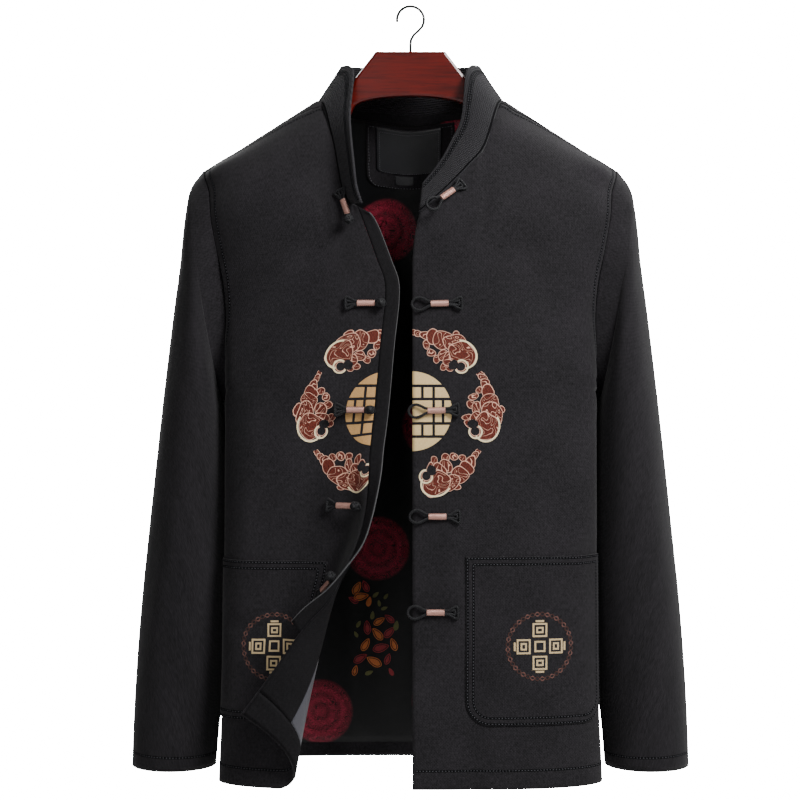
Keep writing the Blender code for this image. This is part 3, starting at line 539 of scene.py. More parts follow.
def column_from_edge(sheet, row, distance, step):
    """The column at a distance along a row from the front edge; step is -1 where the edge is last."""
    columns = sheet.p.shape[1]
    order = range(columns) if step > 0 else range(columns - 1, -1, -1)
    points = np.array([sample(sheet, row, j)[0] for j in order])
    lengths = lengths_along(points)
    place = np.interp(distance, lengths, range(columns)) + min(distance, 0.0) / lengths[1]
    return place if step > 0 else columns - 1 - place


def sampled(sheet, spots):
    """A sheet through places on another, each given by its row and column."""
    piece = Sheet.__new__(Sheet)
    found = [[sample(sheet, *spot) for spot in row] for row in spots]
    piece.p, piece.n, piece.uv = (np.array([[spot[k] for spot in row] for row in found]) for k in (0, 1, 2))
    return piece


def rounded_patch(centre, half_width, top, bottom, corner, place, columns, rows, turns=3):
    """Places over a patch with round lower corners; place turns an offset across and a height."""
    heights = [bottom + corner * (1 - math.cos(math.pi / 2 * (i * 3 / turns) / 3)) for i in range(turns + 1)]
    heights += list(np.linspace(bottom + corner, top, rows + 1))[1:]
    grid = []
    for height in heights:
        below = max(bottom + corner - height, 0.0)
        half = half_width - corner + math.sqrt(max(corner ** 2 - below ** 2, 0.0))
        grid.append([place(centre + half * (2 * j / columns - 1), height) for j in range(columns + 1)])
    return grid


def join_sides(front, back, sleeve):
    """One normal for both sides of the seams on the +X side."""
    side, shoulder = LOW_ROWS + 1, SHOULDER_COLUMNS + 1
    share_normals(
        (front.n[:side, -1], back.n[:side, 0]),
        (front.n[-1, -shoulder:], back.n[-1, :shoulder][::-1]),
        (front.n[LOW_ROWS:, -1][::-1], sleeve.n[0, :ARM_ROWS + 1]),
        (back.n[LOW_ROWS + 1:-1, 0], sleeve.n[0, ARM_ROWS + 1:]),
    )
    back.n[LOW_ROWS, 0] = front.n[LOW_ROWS, -1]
    back.n[-1, 0] = front.n[-1, -1]


def copy_sides(front, back, right_front):
    """Gives the -X side the normals of the +X side, mirrored."""
    shoulder = SHOULDER_COLUMNS + 1
    right_front.n[:, 0] = front.n[:, -1] * MIRROR
    right_front.n[-1, :shoulder] = front.n[-1, -shoulder:][::-1] * MIRROR
    back.n[:, -1] = back.n[:, 0] * MIRROR
    back.n[-1, -shoulder:] = back.n[-1, :shoulder][::-1] * MIRROR


def join_collar(collar, front, back, right_front):
    neck, shoulder = NECK_COLUMNS + 1, SHOULDER_COLUMNS
    nape = 2 * NAPE_COLUMNS - 1
    share_normals(
        (collar.n[0, :neck], front.n[-1, :neck]),
        (collar.n[0, neck:neck + nape], back.n[-1, shoulder + 1:shoulder + 1 + nape]),
        (collar.n[0, neck + nape:], right_front.n[-1, shoulder:shoulder + neck]),
    )
    back.n[-1, shoulder] = front.n[-1, neck - 1]
    back.n[-1, -shoulder - 1] = right_front.n[-1, shoulder]


def jacket_sheets():
    front = Sheet(on_trunk(front_sheet(NECKLINE_LEFT, lambda height: EDGE_LEFT.at(height)[0])))
    right_front = Sheet(turned_front())
    half = Sheet(on_trunk(back_half()))
    back = Sheet(np.concatenate([half.p, half.mirrored().p[:, 1:]], 1))
    ring = np.concatenate([front.p[LOW_ROWS:, -1][::-1], back.p[LOW_ROWS + 1:-1, 0]])
    sleeve = sleeve_sheet(ring)
    join_sides(front, back, sleeve)
    copy_sides(front, back, right_front)
    shoulder, neck = SHOULDER_COLUMNS, NECK_COLUMNS + 1
    collar = collar_sheet(front.p[-1, :neck], back.p[-1, shoulder:-shoulder],
                          right_front.p[-1, shoulder:shoulder + neck])
    join_collar(collar, front, back, right_front)
    return front, right_front, back, sleeve, collar


def panel_heights(right_front):
    """Heights of the right front's rows on the part of it that lies level."""
    return right_front.p[:, SHOULDER_COLUMNS + NECK_COLUMNS, 2]


def girth_clear(girth, limit, near, width):
    """Draws the near side of a pocket off the turned corner, and leaves its far side in place."""
    far = near + width
    push = max(limit - near, 0.0)
    return girth + push * (far - girth) / (far - near)


def strand(loop_radius, start, shorter=0.0):
    """One edge of a frog's closed cord: round the inner end, along the bar, round the fan."""
    waist = CORD + 0.35
    arc = [(loop_radius * (1 - math.cos(a)), loop_radius * 0.85 * math.sin(a))
           for a in np.linspace(0, 2.2, 6)] if loop_radius else [(start, waist)]
    fan = [(42.0, waist), (46.0, 3.6), (50.0, 5.6), (FROG_LENGTH - CORD, 5.6)]
    return arc + [(x - shorter, y) for x, y in [(21.0, waist)] + fan]


def frog_frame(sheet, row, start, step, turn, raised):
    """Where a frog lies: its origin, along, across and off the cloth."""
    places = [sample(sheet, row, column_from_edge(sheet, row, start + FROG_LENGTH * t, step))
              for t in (0.0, 0.25, 0.5, 0.75, 1.0)]
    first, last = places[0][0], places[-1][0]
    along = Vector(last - first)
    along.z = 0.0
    along.normalize()
    normal = Vector(sum(spot[1] for spot in places))
    normal = (normal - along * normal.dot(along)).normalized()
    bulge = max((Vector(point - first)).dot(normal) for point, *_ in places)
    along = Matrix.Rotation(math.radians(turn) * step, 3, normal) @ along
    origin = Vector(first) + normal * (CLOTH + FROG_LIFT + bulge + raised)
    return standing(along, normal, origin * MM)


# Creases in the front view: from and to (across, up), half width and height (mm)
CREASES = {
    "front_right": ((-92, -470, -140, -690, 20, -7.0), (-170, -440, -186, -660, 16, 4.0),
                    (-150, -330, -175, -470, 26, -2.5), (-75, -200, -120, -330, 22, -2.5),
                    (-190, -700, -196, -800, 14, 3.0), (-205, -300, -196, -420, 10, 3.0)),
    "front_left": ((70, -640, 64, -850, 16, -2.2), (190, -420, 178, -600, 18, 3.0),
                   (120, -250, 160, -420, 30, -2.5), (215, -300, 205, -420, 10, 3.0),
                   (40, -560, 50, -700, 14, 1.8), (196, -600, 204, -800, 12, -3.0)),
    "sleeve_left": ((262, -330, 300, -560, 13, 3.5), (285, -560, 318, -760, 14, -3.0),
                    (240, -240, 268, -420, 10, -3.0), (300, -640, 322, -790, 9, 3.0)),
    "sleeve_right": ((-262, -330, -300, -560, 13, 3.5), (-282, -600, -314, -780, 14, -3.0),
                     (-238, -250, -262, -420, 10, -3.5), (-255, -560, -282, -700, 9, 3.0)),
    "back_rear": ((0, -200, 0, -820, 20, -2.0), (110, -260, 130, -640, 30, 3.0),
                  (-110, -260, -130, -640, 30, 3.0), (60, -520, 50, -820, 18, -2.5),
                  (-70, -480, -60, -820, 18, -2.5)),
}


# ---------------------------------------------------------------- materials

def colour(text):
    """An sRGB hex value as linear red, green, blue and alpha."""
    parts = [int(text[i:i + 2], 16) / 255 for i in (1, 3, 5)]
    return (*(c / 12.92 if c <= 0.04045 else ((c + 0.055) / 1.055) ** 2.4 for c in parts), 1.0)


def add(tree, kind, settings=(), inputs=(), output=0):
    """Adds a node with its settings, or its operation, and its inputs, links or values.

    A kind in capitals is the operation of a Math node, and its inputs follow at once.
    """
    if kind.isupper():
        kind, settings, inputs = "Math", kind, settings
    made = tree.nodes.new("ShaderNode" + kind)
    settings = {"operation": settings} if isinstance(settings, str) else dict(settings)
    for key, value in settings.items():
        setattr(made, key, value)
    for key, value in (inputs.items() if isinstance(inputs, dict) else enumerate(inputs)):
        if isinstance(value, bpy.types.NodeSocket):
            tree.links.new(value, made.inputs[key])
        else:
            made.inputs[key].default_value = value
    return made.outputs[output]


def begun(name, **surface):
    """A material's tree and its shader, with the values that are the same all over."""
    made = bpy.data.materials.new(name)
    made.use_nodes = True
    shader = made.node_tree.nodes["Principled BSDF"]
    for key, value in surface.items():
        shader.inputs[key.replace("_", " ")].default_value = value
    return made, made.node_tree, shader


def finished(made, tree, shader, shade, height, relief, **linked):
    """Links a material's colour, its relief (in metres) and what else varies over it."""
    bump = add(tree, "Bump", {}, {"Height": height, "Distance": relief})
    for key, value in {"Base_Color": shade, "Normal": bump, **linked}.items():
        tree.links.new(value, shader.inputs[key.replace("_", " ")])
    return made


def blended(tree, amount, first, second):
    return add(tree, "Mix", {"data_type": "RGBA"}, {0: amount, 6: first, 7: second}, 2)


def once(make, *words, **surface):
    """Makes a material the first time it is asked for."""
    made = []

    def get():
        if not made:
            made.append(make(*words, **surface))
        return made[0]
    return get


def apart(tree, value, other):
    """How far two values are from each other."""
    return add(tree, "ABSOLUTE", (add(tree, "SUBTRACT", (value, other)),))


def from_middle(tree, x, y):
    return add(tree, "SQRT", (add(tree, "MULTIPLY_ADD", (x, x, add(tree, "MULTIPLY", (y, y)))),))


def wave(tree, value, turns):
    return add(tree, "SINE", (add(tree, "MULTIPLY", (value, turns)),))


def flat_pattern(tree):
    """The piece's own pattern in mm: as a vector, and across and up apart."""
    uv = add(tree, "UVMap", {"uv_map": "pattern"})
    parts = add(tree, "SeparateXYZ", {}, (uv,)).node
    return uv, parts.outputs[0], parts.outputs[1]


def weave(tree, across, up, pitch):
    """Height of a plain weave of a given thread spacing (mm), 0 to 1."""
    over, under = wave(tree, across, math.pi / pitch), wave(tree, up, math.pi / pitch)
    return add(tree, "MULTIPLY_ADD", (add(tree, "MULTIPLY", (over, under)), 0.5, 0.5))


def streaks(tree, vector, scale, detail=3.0):
    """Noise drawn out by its scales along the three axes."""
    stretched = add(tree, "Mapping", {}, {"Vector": vector, "Scale": scale})
    return add(tree, "TexNoise", {}, {"Vector": stretched, "Scale": 1.0, "Detail": detail})


# The yarns of 0.45 mm are too fine to show, so the weave is drawn coarser (mm).
WEAVE = 1.6
SUITING = {"Sheen_Weight": 0.09, "Sheen_Roughness": 0.5}


def suiting(tree):
    """Colour and height of charcoal suiting: a close weave with a soft melange of its yarns."""
    uv, across, up = flat_pattern(tree)
    cloth = weave(tree, across, up, WEAVE)
    yarn = add(tree, "ADD", (streaks(tree, uv, (0.9, 0.10, 1)), streaks(tree, uv, (0.10, 0.9, 1))))
    broad = streaks(tree, uv, (0.018, 0.018, 1), 2.0)
    tone = add(tree, "MULTIPLY_ADD", (yarn, 0.55, add(tree, "MULTIPLY", (cloth, 0.2))))
    melange = streaks(tree, uv, (0.42, 0.26, 1), 2.0)
    tone = add(tree, "MULTIPLY_ADD", (broad, 0.5, tone))
    tone = add(tree, "MULTIPLY_ADD", (melange, 0.9, tone))
    tone = add(tree, "SUBTRACT", (tone, 0.9))
    shade = blended(tree, tone, colour("#060607"), colour("#2e2b2f"))
    height = add(tree, "MULTIPLY_ADD", (yarn, 0.7, cloth))
    return shade, height, uv, across, up


def jacket_cloth():
    # Worsted suiting, woven and shorn: nearly black, matte, with a faint bloom at grazing angles.
    made, tree, shader = begun("suiting, charcoal worsted",
                               Roughness=0.88, Specular_IOR_Level=0.18, **SUITING)
    shade, height, *_ = suiting(tree)
    return finished(made, tree, shader, shade, height, 0.00012)


def within(tree, value, limit):
    """1 where a distance is under a limit, with an edge 0.3 mm soft."""
    return add(tree, "MapRange", {"interpolation_type": "SMOOTHSTEP"},
               {"Value": value, "From Min": limit + 0.15, "From Max": limit - 0.15,
                "To Min": 0.0, "To Max": 1.0})


# Cloud motif, rolled out along its ring: along, outward and radius of each puff (mm)
CLOUD = (
    (-38, 6.5, 2.3), (-34.5, 6, 2.8), (-30.5, 5.5, 3.4), (-22, -3, 3.6), (-16.5, -9.5, 4.2), (-25, 5, 4.4),
    (-2.5, 17, 3.0), (-8.5, -14, 4.2), (5, -17, 4.2), (-18, 5.5, 6.4), (-4, -8, 5.4), (12, -14, 4.4),
    (-8, 6, 8.8), (5, -8, 6.6), (2, 8, 9.6), (12, 3, 12.6),
)
HOOK = (19.5, -5.5, 7.2)        # the motif's rolled end
HOOK_EYE = (19.0, -6.0, 4.7)    # and the cloth that shows through it
HOOK_GAP = (12.4, -10.0, 5.4)   # where its end stands open
CREAM_HOOK = (19.5, -5.5, 6.3)  # the cream edge round the rolled end
CREAM_BROW = (12, 3, 13.2)      # and over the largest puff
CLOUD_TURN = math.pi / 3        # from one cloud to the next
RING_RADIUS = 77.0              # of the six clouds
DISC_RADIUS = 42.5
MEDALLION_HEIGHT = -451.0
LATTICE_LEVELS = (13.0, 27.0)   # level bars, above and below the middle
LATTICE_POSTS = ((11.0, 13.0, 27.0), (23.0, 0.0, 27.0), (33.0, 0.0, 13.0))   # place across, foot, head

# Pocket roundels: the chain's radius and sway, and each fret's middle out from the centre, half
# length and half width (mm)
CHAIN_RADIUS = 34.5
CHAIN_SWAY = 1.9
FRETS = ((17.5, 6.5, 7.0), (17.5, 2.4, 3.0))


def cloud(tree, along, outward, wobble):
    """Fill, outline and cream edge of the cloud motif, each 0 to 1."""
    straight = add(tree, "VectorMath", "MULTIPLY_ADD", (
        add(tree, "CombineXYZ", {}, (along, outward, 0.0)), (0.87, 0.92, 1.0), (-1.5, 0.0, 0.0)))
    spot = add(tree, "VectorMath", "ADD", (straight, wobble))

    def from_puff(puff, place=spot):
        far = add(tree, "VectorMath", "DISTANCE", (place, (puff[0], puff[1], 0.0)), 1)
        return add(tree, "SUBTRACT", (far, puff[2]))

    union, line = None, None
    for puff in CLOUD:
        near = from_puff(puff)
        rim = add(tree, "ABSOLUTE", (near,))
        if union is None:
            union, line = near, rim
            continue
        # A later puff lies over the lines of those before it
        covers = add(tree, "LESS_THAN", (near, 0.0))
        line = add(tree, "MINIMUM", (rim, add(tree, "MULTIPLY_ADD", (covers, 50.0, line))))
        union = add(tree, "MINIMUM", (union, near))
    # Chain-stitched veins inside the puffs
    vein = add(tree, "TexNoise", {}, {"Vector": spot, "Scale": 0.085, "Detail": 0.0, "Distortion": 0.9})
    vein = add(tree, "FRACT", (add(tree, "MULTIPLY", (vein, 7.0)),))
    vein = add(tree, "MULTIPLY", (apart(tree, vein, 0.5), 5.5))
    inner = add(tree, "MAXIMUM", (vein, add(tree, "ADD", (union, 1.6))))
    line = add(tree, "MINIMUM", (line, inner))
    eye, gap = from_puff(HOOK_EYE, straight), from_puff(HOOK_GAP, straight)
    union = add(tree, "MINIMUM", (union, from_puff(HOOK, straight)))
    for hole in (eye, gap):
        union = add(tree, "MAXIMUM", (union, add(tree, "MULTIPLY", (hole, -1.0))))
    line = add(tree, "MINIMUM", (line, add(tree, "ABSOLUTE", (eye,))))
    # The cream edge runs round the rolled end's foot and over the largest puff's outer side
    rolled = add(tree, "ABSOLUTE", (from_puff(CREAM_HOOK, straight),))
    foot = add(tree, "LESS_THAN", (add(tree, "MULTIPLY_ADD", (along, -0.7, outward)), -13.0))
    brow = add(tree, "ABSOLUTE", (from_puff(CREAM_BROW, straight),))
    outer = add(tree, "MULTIPLY", (
        add(tree, "GREATER_THAN", (add(tree, "ADD", (outward, along)), 19.0)),
        add(tree, "GREATER_THAN", (outward, -4.0))))
    cream = add(tree, "MAXIMUM", (add(tree, "MULTIPLY", (within(tree, rolled, 0.8), foot)),
                                  add(tree, "MULTIPLY", (within(tree, brow, 0.85), outer))))
    cream = add(tree, "MULTIPLY", (cream, add(tree, "GREATER_THAN", (gap, 0.0))))
    fill = within(tree, union, 0.0)
    line = add(tree, "MULTIPLY", (within(tree, line, 0.32), within(tree, union, 0.5)))
    return fill, line, cream


def lattice_disc(tree, x, y, radius):
    """Gold disc cut by a plain lattice of bars, symmetrical about its middle."""
    gold = within(tree, from_middle(tree, x, y), radius)
    level = add(tree, "ABSOLUTE", (y,))
    for bar in LATTICE_LEVELS:
        gold = add(tree, "SUBTRACT", (gold, within(tree, apart(tree, level, bar), 1.5)))
    for bar, low, high in LATTICE_POSTS:
        span = add(tree, "COMPARE", (level, (low + high) / 2, (high - low) / 2))
        post = add(tree, "MULTIPLY", (within(tree, apart(tree, x, bar), 1.4), span))
        gold = add(tree, "SUBTRACT", (gold, post))
    return add(tree, "MAXIMUM", (gold, 0.0))


def embroidered_front(side, shift, low, high):
    # The same suiting, with rayon thread in satin stitch: brick clouds, a gold disc, pale outlines.
    made, tree, shader = begun("suiting with embroidery, " + side, Specular_IOR_Level=0.2, **SUITING)
    shade, height, uv, across, up = suiting(tree)
    x = add(tree, "ADD", (across, shift))
    y = add(tree, "SUBTRACT", (up, MEDALLION_HEIGHT))
    # The ring is rolled out, so that one motif gives all six clouds
    turn = add(tree, "DIVIDE", (add(tree, "ARCTAN2", (x, y)), CLOUD_TURN))
    turn = add(tree, "SUBTRACT", (add(tree, "FRACT", (turn,)), 0.5))
    along = add(tree, "MULTIPLY", (turn, CLOUD_TURN * RING_RADIUS))
    swirl = add(tree, "TexNoise", {}, {"Vector": uv, "Scale": 0.06, "Detail": 0.0}, 1)
    swirl = add(tree, "VectorMath", "SUBTRACT", (swirl, (0.5, 0.5, 0.5)))
    swirl = add(tree, "VectorMath", "SCALE", {0: swirl, "Scale": 8.0})
    wobble = add(tree, "VectorMath", "MULTIPLY", (swirl, (1.0, 1.0, 0.0)))
    outward = add(tree, "SUBTRACT", (from_middle(tree, x, y), RING_RADIUS))
    fill, line, cream = cloud(tree, along, outward, wobble)
    gold = lattice_disc(tree, x, y, DISC_RADIUS)

    stitch = streaks(tree, uv, (1.5, 0.45, 1), 3.0)
    stitch = add(tree, "MapRange", {}, {"Value": stitch, "From Min": 0.3, "From Max": 0.7})
    brick = blended(tree, stitch, colour("#2a0a06"), colour("#7e3426"))
    yellow = blended(tree, streaks(tree, uv, (0.5, 3.0, 1), 2.0), colour(low), colour(high))
    threads = ((fill, brick), (line, colour("#e8b49c")), (cream, colour("#fbe8bd")), (gold, yellow))
    for mask, thread in threads:
        shade = blended(tree, mask, shade, thread)
    thread = add(tree, "MAXIMUM", (fill, add(tree, "MAXIMUM", (line, gold))))
    thread = add(tree, "MAXIMUM", (thread, cream))
    raised = add(tree, "MULTIPLY_ADD", (thread, 3.0, add(tree, "MULTIPLY", (stitch, thread))))
    height = add(tree, "ADD", (line, add(tree, "ADD", (raised, height))))
    rough = add(tree, "MapRange", {}, {"Value": thread, "To Min": 0.88, "To Max": 0.45})
    return finished(made, tree, shader, shade, height, 0.00014, Roughness=rough)


def roundel_pocket(side, centre):
    # Suiting with five square frets in gold thread inside a brown chain of two corded rings.
    made, tree, shader = begun("suiting with a roundel, " + side, Specular_IOR_Level=0.2, **SUITING)
    shade, height, uv, across, up = suiting(tree)
    x = add(tree, "SUBTRACT", (across, centre[0]))
    y = add(tree, "SUBTRACT", (up, centre[1]))
    lay = wave(tree, add(tree, "ARCTAN2", (y, x)), 20.0)
    # Two cords crossing each other make the chain round the roundel
    off = add(tree, "SUBTRACT", (from_middle(tree, x, y), CHAIN_RADIUS))
    ring = add(tree, "MAXIMUM", [
        within(tree, add(tree, "ABSOLUTE", (add(tree, "MULTIPLY_ADD", (lay, sway, off)),)), 0.75)
        for sway in (CHAIN_SWAY, -CHAIN_SWAY)])
    a, b = add(tree, "ABSOLUTE", (x,)), add(tree, "ABSOLUTE", (y,))
    out, beside = add(tree, "MAXIMUM", (a, b)), add(tree, "MINIMUM", (a, b))
    gold = within(tree, apart(tree, out, 5.0), 1.0)
    for middle, half, wide in FRETS:
        reach = add(tree, "SUBTRACT", (apart(tree, out, middle), half))
        edge = add(tree, "MAXIMUM", (reach, add(tree, "SUBTRACT", (beside, wide))))
        gold = add(tree, "MAXIMUM", (gold, within(tree, add(tree, "ABSOLUTE", (edge,)), 1.0)))
    bar = add(tree, "MAXIMUM", (apart(tree, out, 27.0), add(tree, "SUBTRACT", (beside, 3.5))))
    gold = add(tree, "MAXIMUM", (gold, within(tree, bar, 1.1)))
    stitch = streaks(tree, uv, (2.0, 2.0, 1), 2.0)
    shade = blended(tree, gold, shade, blended(tree, stitch, colour("#a98a62"), colour("#e8d3a6")))
    plies = add(tree, "MULTIPLY_ADD", (lay, 0.5, 0.5))
    shade = blended(tree, ring, shade, blended(tree, plies, colour("#35201c"), colour("#68463f")))
    thread = add(tree, "MAXIMUM", (gold, ring))
    height = add(tree, "ADD", (add(tree, "MULTIPLY", (thread, 3.0)), height))
    rough = add(tree, "MapRange", {}, {"Value": thread, "To Min": 0.88, "To Max": 0.5})
    return finished(made, tree, shader, shade, height, 0.00012, Roughness=rough)


ROW_PITCH = 2.6         # of the collar's quilting, and of the stitches in each row (mm)
DASH_PITCH = 2.2


def collar_cloth():
    # Suiting quilted with close rows of stitching, so it looks ribbed and a little lighter.
    made, tree, shader = begun("suiting, close-stitched collar", Roughness=0.85, Specular_IOR_Level=0.18,
                               **SUITING)
    shade, height, _, across, up = suiting(tree)
    rows, dashes = wave(tree, up, 2 * math.pi / ROW_PITCH), wave(tree, across, 2 * math.pi / DASH_PITCH)
    pricked = add(tree, "MULTIPLY_ADD", (add(tree, "MULTIPLY", (rows, dashes)), 0.5, 0.5))
    shade = blended(tree, add(tree, "MULTIPLY", (pricked, 0.7)), shade, colour("#343338"))
    height = add(tree, "MULTIPLY_ADD", (rows, 2.4, height))
    height = add(tree, "MULTIPLY_ADD", (pricked, 3.0, height))
    return finished(made, tree, shader, shade, height, 0.00028)


# Woven roundels of the lining: across the back from its middle and height (mm)
ROUNDELS = ((-29, -243), (72, -152), (-38, -612), (-104, -802), (96, -330), (28, -470), (-112, -420),
            (108, -560), (40, -790), (150, -700))
ROUNDEL_RADIUS = 36.0


def lining_satin():
    # Viscose satin with a woven damask of dark red roundels; smooth, with a broad soft gloss.
    made, tree, shader = begun("satin, black with red damask", Roughness=0.42, Specular_IOR_Level=0.3,
                               Anisotropic=0.4)
    uv, *_ = flat_pattern(tree)
    near = None
    for spot in ROUNDELS:
        far = add(tree, "VectorMath", "DISTANCE", (uv, (spot[0], spot[1], 0.0)), 1)
        near = far if near is None else add(tree, "MINIMUM", (near, far))
    inside = add(tree, "MapRange", {"interpolation_type": "SMOOTHSTEP"}, {
        "Value": near, "From Min": ROUNDEL_RADIUS + 3, "From Max": ROUNDEL_RADIUS - 4,
        "To Min": 0.0, "To Max": 1.0})
    swirl = add(tree, "TexNoise", {}, {"Vector": uv, "Scale": 0.09, "Detail": 1.5, "Distortion": 2.0})
    swirl, waves = wave(tree, swirl, 62.0), wave(tree, near, 0.55)
    figure = add(tree, "MULTIPLY_ADD", (add(tree, "MULTIPLY_ADD", (waves, 0.4, swirl)), 0.45, 0.5))
    red = blended(tree, figure, colour("#30060e"), colour("#b02c46"))
    shade = blended(tree, inside, colour("#09090b"), red)
    threads = streaks(tree, uv, (0.25, 3.0, 1), 2.0)
    height = add(tree, "MULTIPLY_ADD", (add(tree, "MULTIPLY", (inside, figure)), 1.2, threads))
    return finished(made, tree, shader, shade, height, 0.00010)


def shaded_strip_cloth():
    # The underlap's own strip of the suiting, also used for the facing and hem band, blended toward near
    # black: painted shade, where the turned edge lies in shadow.
    made, tree, shader = begun("suiting, strip in painted shade", Roughness=0.85, Specular_IOR_Level=0.2)
    shade, height, *_ = suiting(tree)
    # Painted shade: the suiting mixed most of the way to near black
    shade = blended(tree, 0.6, shade, colour("#060607"))
    return finished(made, tree, shader, shade, height, 0.00012)


def spot_in_mm(tree):
    """Object coordinates in mm."""
    spot = add(tree, "TexCoord", {}, (), 3)
    return add(tree, "VectorMath", "SCALE", {0: spot, "Scale": 1000.0})


def spun(name, low, high, scale, relief, detail=2.0, **surface):
    """Spun, plied or painted stuff: two shades mixed by a fine noise, which also gives its relief."""
    made, tree, shader = begun(name, **surface)
    noise = add(tree, "TexNoise", {}, {"Vector": spot_in_mm(tree), "Scale": scale, "Detail": detail})
    return finished(made, tree, shader, blended(tree, noise, colour(low), colour(high)), noise, relief)


def laid(name, low, high, scale, relief, detail=2.0, on_pattern=False, **surface):
    """Threads laid side by side: two shades mixed by streaks along them, which also give the relief."""
    made, tree, shader = begun(name, **surface)
    spot = flat_pattern(tree)[0] if on_pattern else spot_in_mm(tree)
    threads = streaks(tree, spot, scale, detail)
    return finished(made, tree, shader, blended(tree, threads, colour(low), colour(high)), threads, relief)


def hanger_wood():
    # Mahogany-stained lotus wood under thick gloss varnish: long dark pores, a wet highlight.
    made, tree, shader = begun("varnished wood, mahogany stain", Roughness=0.3, Coat_Weight=0.6,
                               Coat_Roughness=0.06, Specular_IOR_Level=0.3)
    spot = spot_in_mm(tree)
    grain = streaks(tree, spot, (0.02, 0.4, 0.28), 5.0)
    pores = streaks(tree, spot, (0.06, 1.0, 1.6), 3.0)
    shade = blended(tree, grain, colour("#1a0201"), colour("#761206"))
    dark = add(tree, "MapRange", {}, {"Value": pores, "From Min": 0.42, "From Max": 0.3,
                                      "To Min": 0.0, "To Max": 0.6})
    return finished(made, tree, shader, blended(tree, dark, shade, colour("#240403")), grain, 0.0001)


SATIN = {"scale": (0.2, 2.6, 1), "on_pattern": True}
STITCH = {"scale": (2.4, 1.0, 0.5), "relief": 0.0002, "Roughness": 0.5}

MATERIALS = {
    "cloth": once(jacket_cloth),
    "front_left": once(embroidered_front, "left", -1.1, "#c8924c", "#ffedb8"),
    # The right front's gold is darker than the left's: painted shade, where that front turns away from the
    # light
    "front_right": once(embroidered_front, "right", 12.0, "#93612f", "#e8bd80"),
    "pocket_left": once(roundel_pocket, "left", (girth_at_width(-702.0, 137.0), -702.0)),
    "pocket_right": once(roundel_pocket, "right", (girth_at_width(-703.0, 146.0), -703.0)),
    "collar": once(collar_cloth),
    "lining": once(lining_satin),
    # Suiting in painted shade, for the underlap strip, the facing and the hem band
    "strip": once(shaded_strip_cloth),
    # Cotton cord in a bias strip of suiting, drawn pale grey: a painted highlight along the underlap's edge.
    "piping": once(spun, "piping, grey bias strip", "#1e1e20", "#505052", 0.9, 0.0002, 3.0, Roughness=0.7,
                   Sheen_Weight=0.3, Sheen_Roughness=0.5),
    # Spun polyester thread, slate grey, for the rows that show on the black facing.
    "pale": once(spun, "sewing thread, slate", "#3c3c40", "#77777c", 1.5, 0.0001, Roughness=0.55),
    # Viscose satin ribbon: black with a soft gloss along its threads.
    "satin": once(laid, "satin ribbon, black", "#101012", "#2a2a2e", relief=0.00012, Roughness=0.36,
                  Specular_IOR_Level=0.45, **SATIN),
    # The same satin without its figure at the turned corner, smoother so that it shines, and drawn grey there
    # as a painted sheen.
    "painted_sheen_satin": once(laid, "satin, plain black", "#2c2c32", "#5a5a62", relief=0.0001, Roughness=0.32,
                  Specular_IOR_Level=0.6, Sheen_Weight=0.3, Sheen_Roughness=0.3, **SATIN),
    # Rayon cord, plied: black with a silky gloss; its high threads drawn a little lighter, a painted sheen.
    "cord": once(spun, "rayon cord, black", "#060607", "#222225", 2.4, 0.0002, 3.0, Roughness=0.5,
                 Specular_IOR_Level=0.25, Sheen_Weight=0.05),
    # Metallised copper-rose thread, wound close; its pale streaks are painted highlights on the turns.
    "copper": once(laid, "wound thread, copper rose", "#8f5548", "#e2b6a8", (1.6, 0.5, 1.6), 0.0003, 1.5,
                   Roughness=0.34, Metallic=0.35),
    # Spun polyester sewing thread, black, drawn grey on its beads: a painted highlight against the cloth.
    "seam": once(spun, "sewing thread, black", "#202024", "#545459", 1.5, 0.0001, Roughness=0.6,
                 Specular_IOR_Level=0.4),
    # A dark band of painted shade under a row of stitches and along seams, where the groove lies in shade.
    "groove": once(spun, "suiting, pressed groove", "#050506", "#0e0e10", 0.7, 0.0001, Roughness=0.95,
                   Specular_IOR_Level=0.1),
    "wood": once(hanger_wood),
    # Drawn steel wire, black electrophoretic paint: smooth with a small hard gloss.
    "wire": once(spun, "painted wire, black", "#0a0a0a", "#1d1c1c", 0.8, 0.00005, Roughness=0.3,
                 Specular_IOR_Level=0.5),
    # Rayon thread in satin stitch, laid along each leaf.
    "orange": once(laid, "embroidery thread, orange", "#a8471a", "#e0863c", **STITCH),
    "red": once(laid, "embroidery thread, red", "#6e1420", "#b02a30", **STITCH),
    "olive": once(laid, "embroidery thread, olive", "#3c3f1c", "#77763a", **STITCH),
}


# ---------------------------------------------------------------- finer sheets

def through(values, places, axis, closed=False):
    """Values at fractional places along one axis, on a smooth curve through the given ones."""
    values = np.moveaxis(values, axis, 0)
    first, last = 2 * values[:1] - values[1:2], 2 * values[-1:] - values[-2:-1]
    if closed:
        first, last = values[-2:-1], values[1:2]
    padded = np.concatenate([first, values, last])
    low = np.minimum(places.astype(int), len(values) - 2)
    t = (places - low).reshape((-1,) + (1,) * (values.ndim - 1))
    a, b, c, d = (padded[low + k] for k in range(4))
    curve = b + 0.5 * t * (c - a + t * (2 * a - 5 * b + 4 * c - d + t * (3 * (b - c) + d - a)))
    return np.moveaxis(curve, 0, axis)


def places(count, times):
    """Places along a sheet, so many to each cell."""
    return np.round(np.linspace(0, count - 1, (count - 1) * times + 1), 5)


def finer(sheet, rows, columns):
    """The sheet at more rows and columns, with normals of its own."""
    closed = np.allclose(sheet.p[:, 0], sheet.p[:, -1])
    fine = Sheet(through(through(sheet.p, rows, 0), columns, 1, closed))
    if np.sum(fine.n[len(rows) // 2] * through(through(sheet.n, rows, 0), columns, 1)[len(rows) // 2]) < 0:
        fine.n = -fine.n
    fine.uv = through(through(sheet.uv, rows, 0), columns, 1)
    return fine


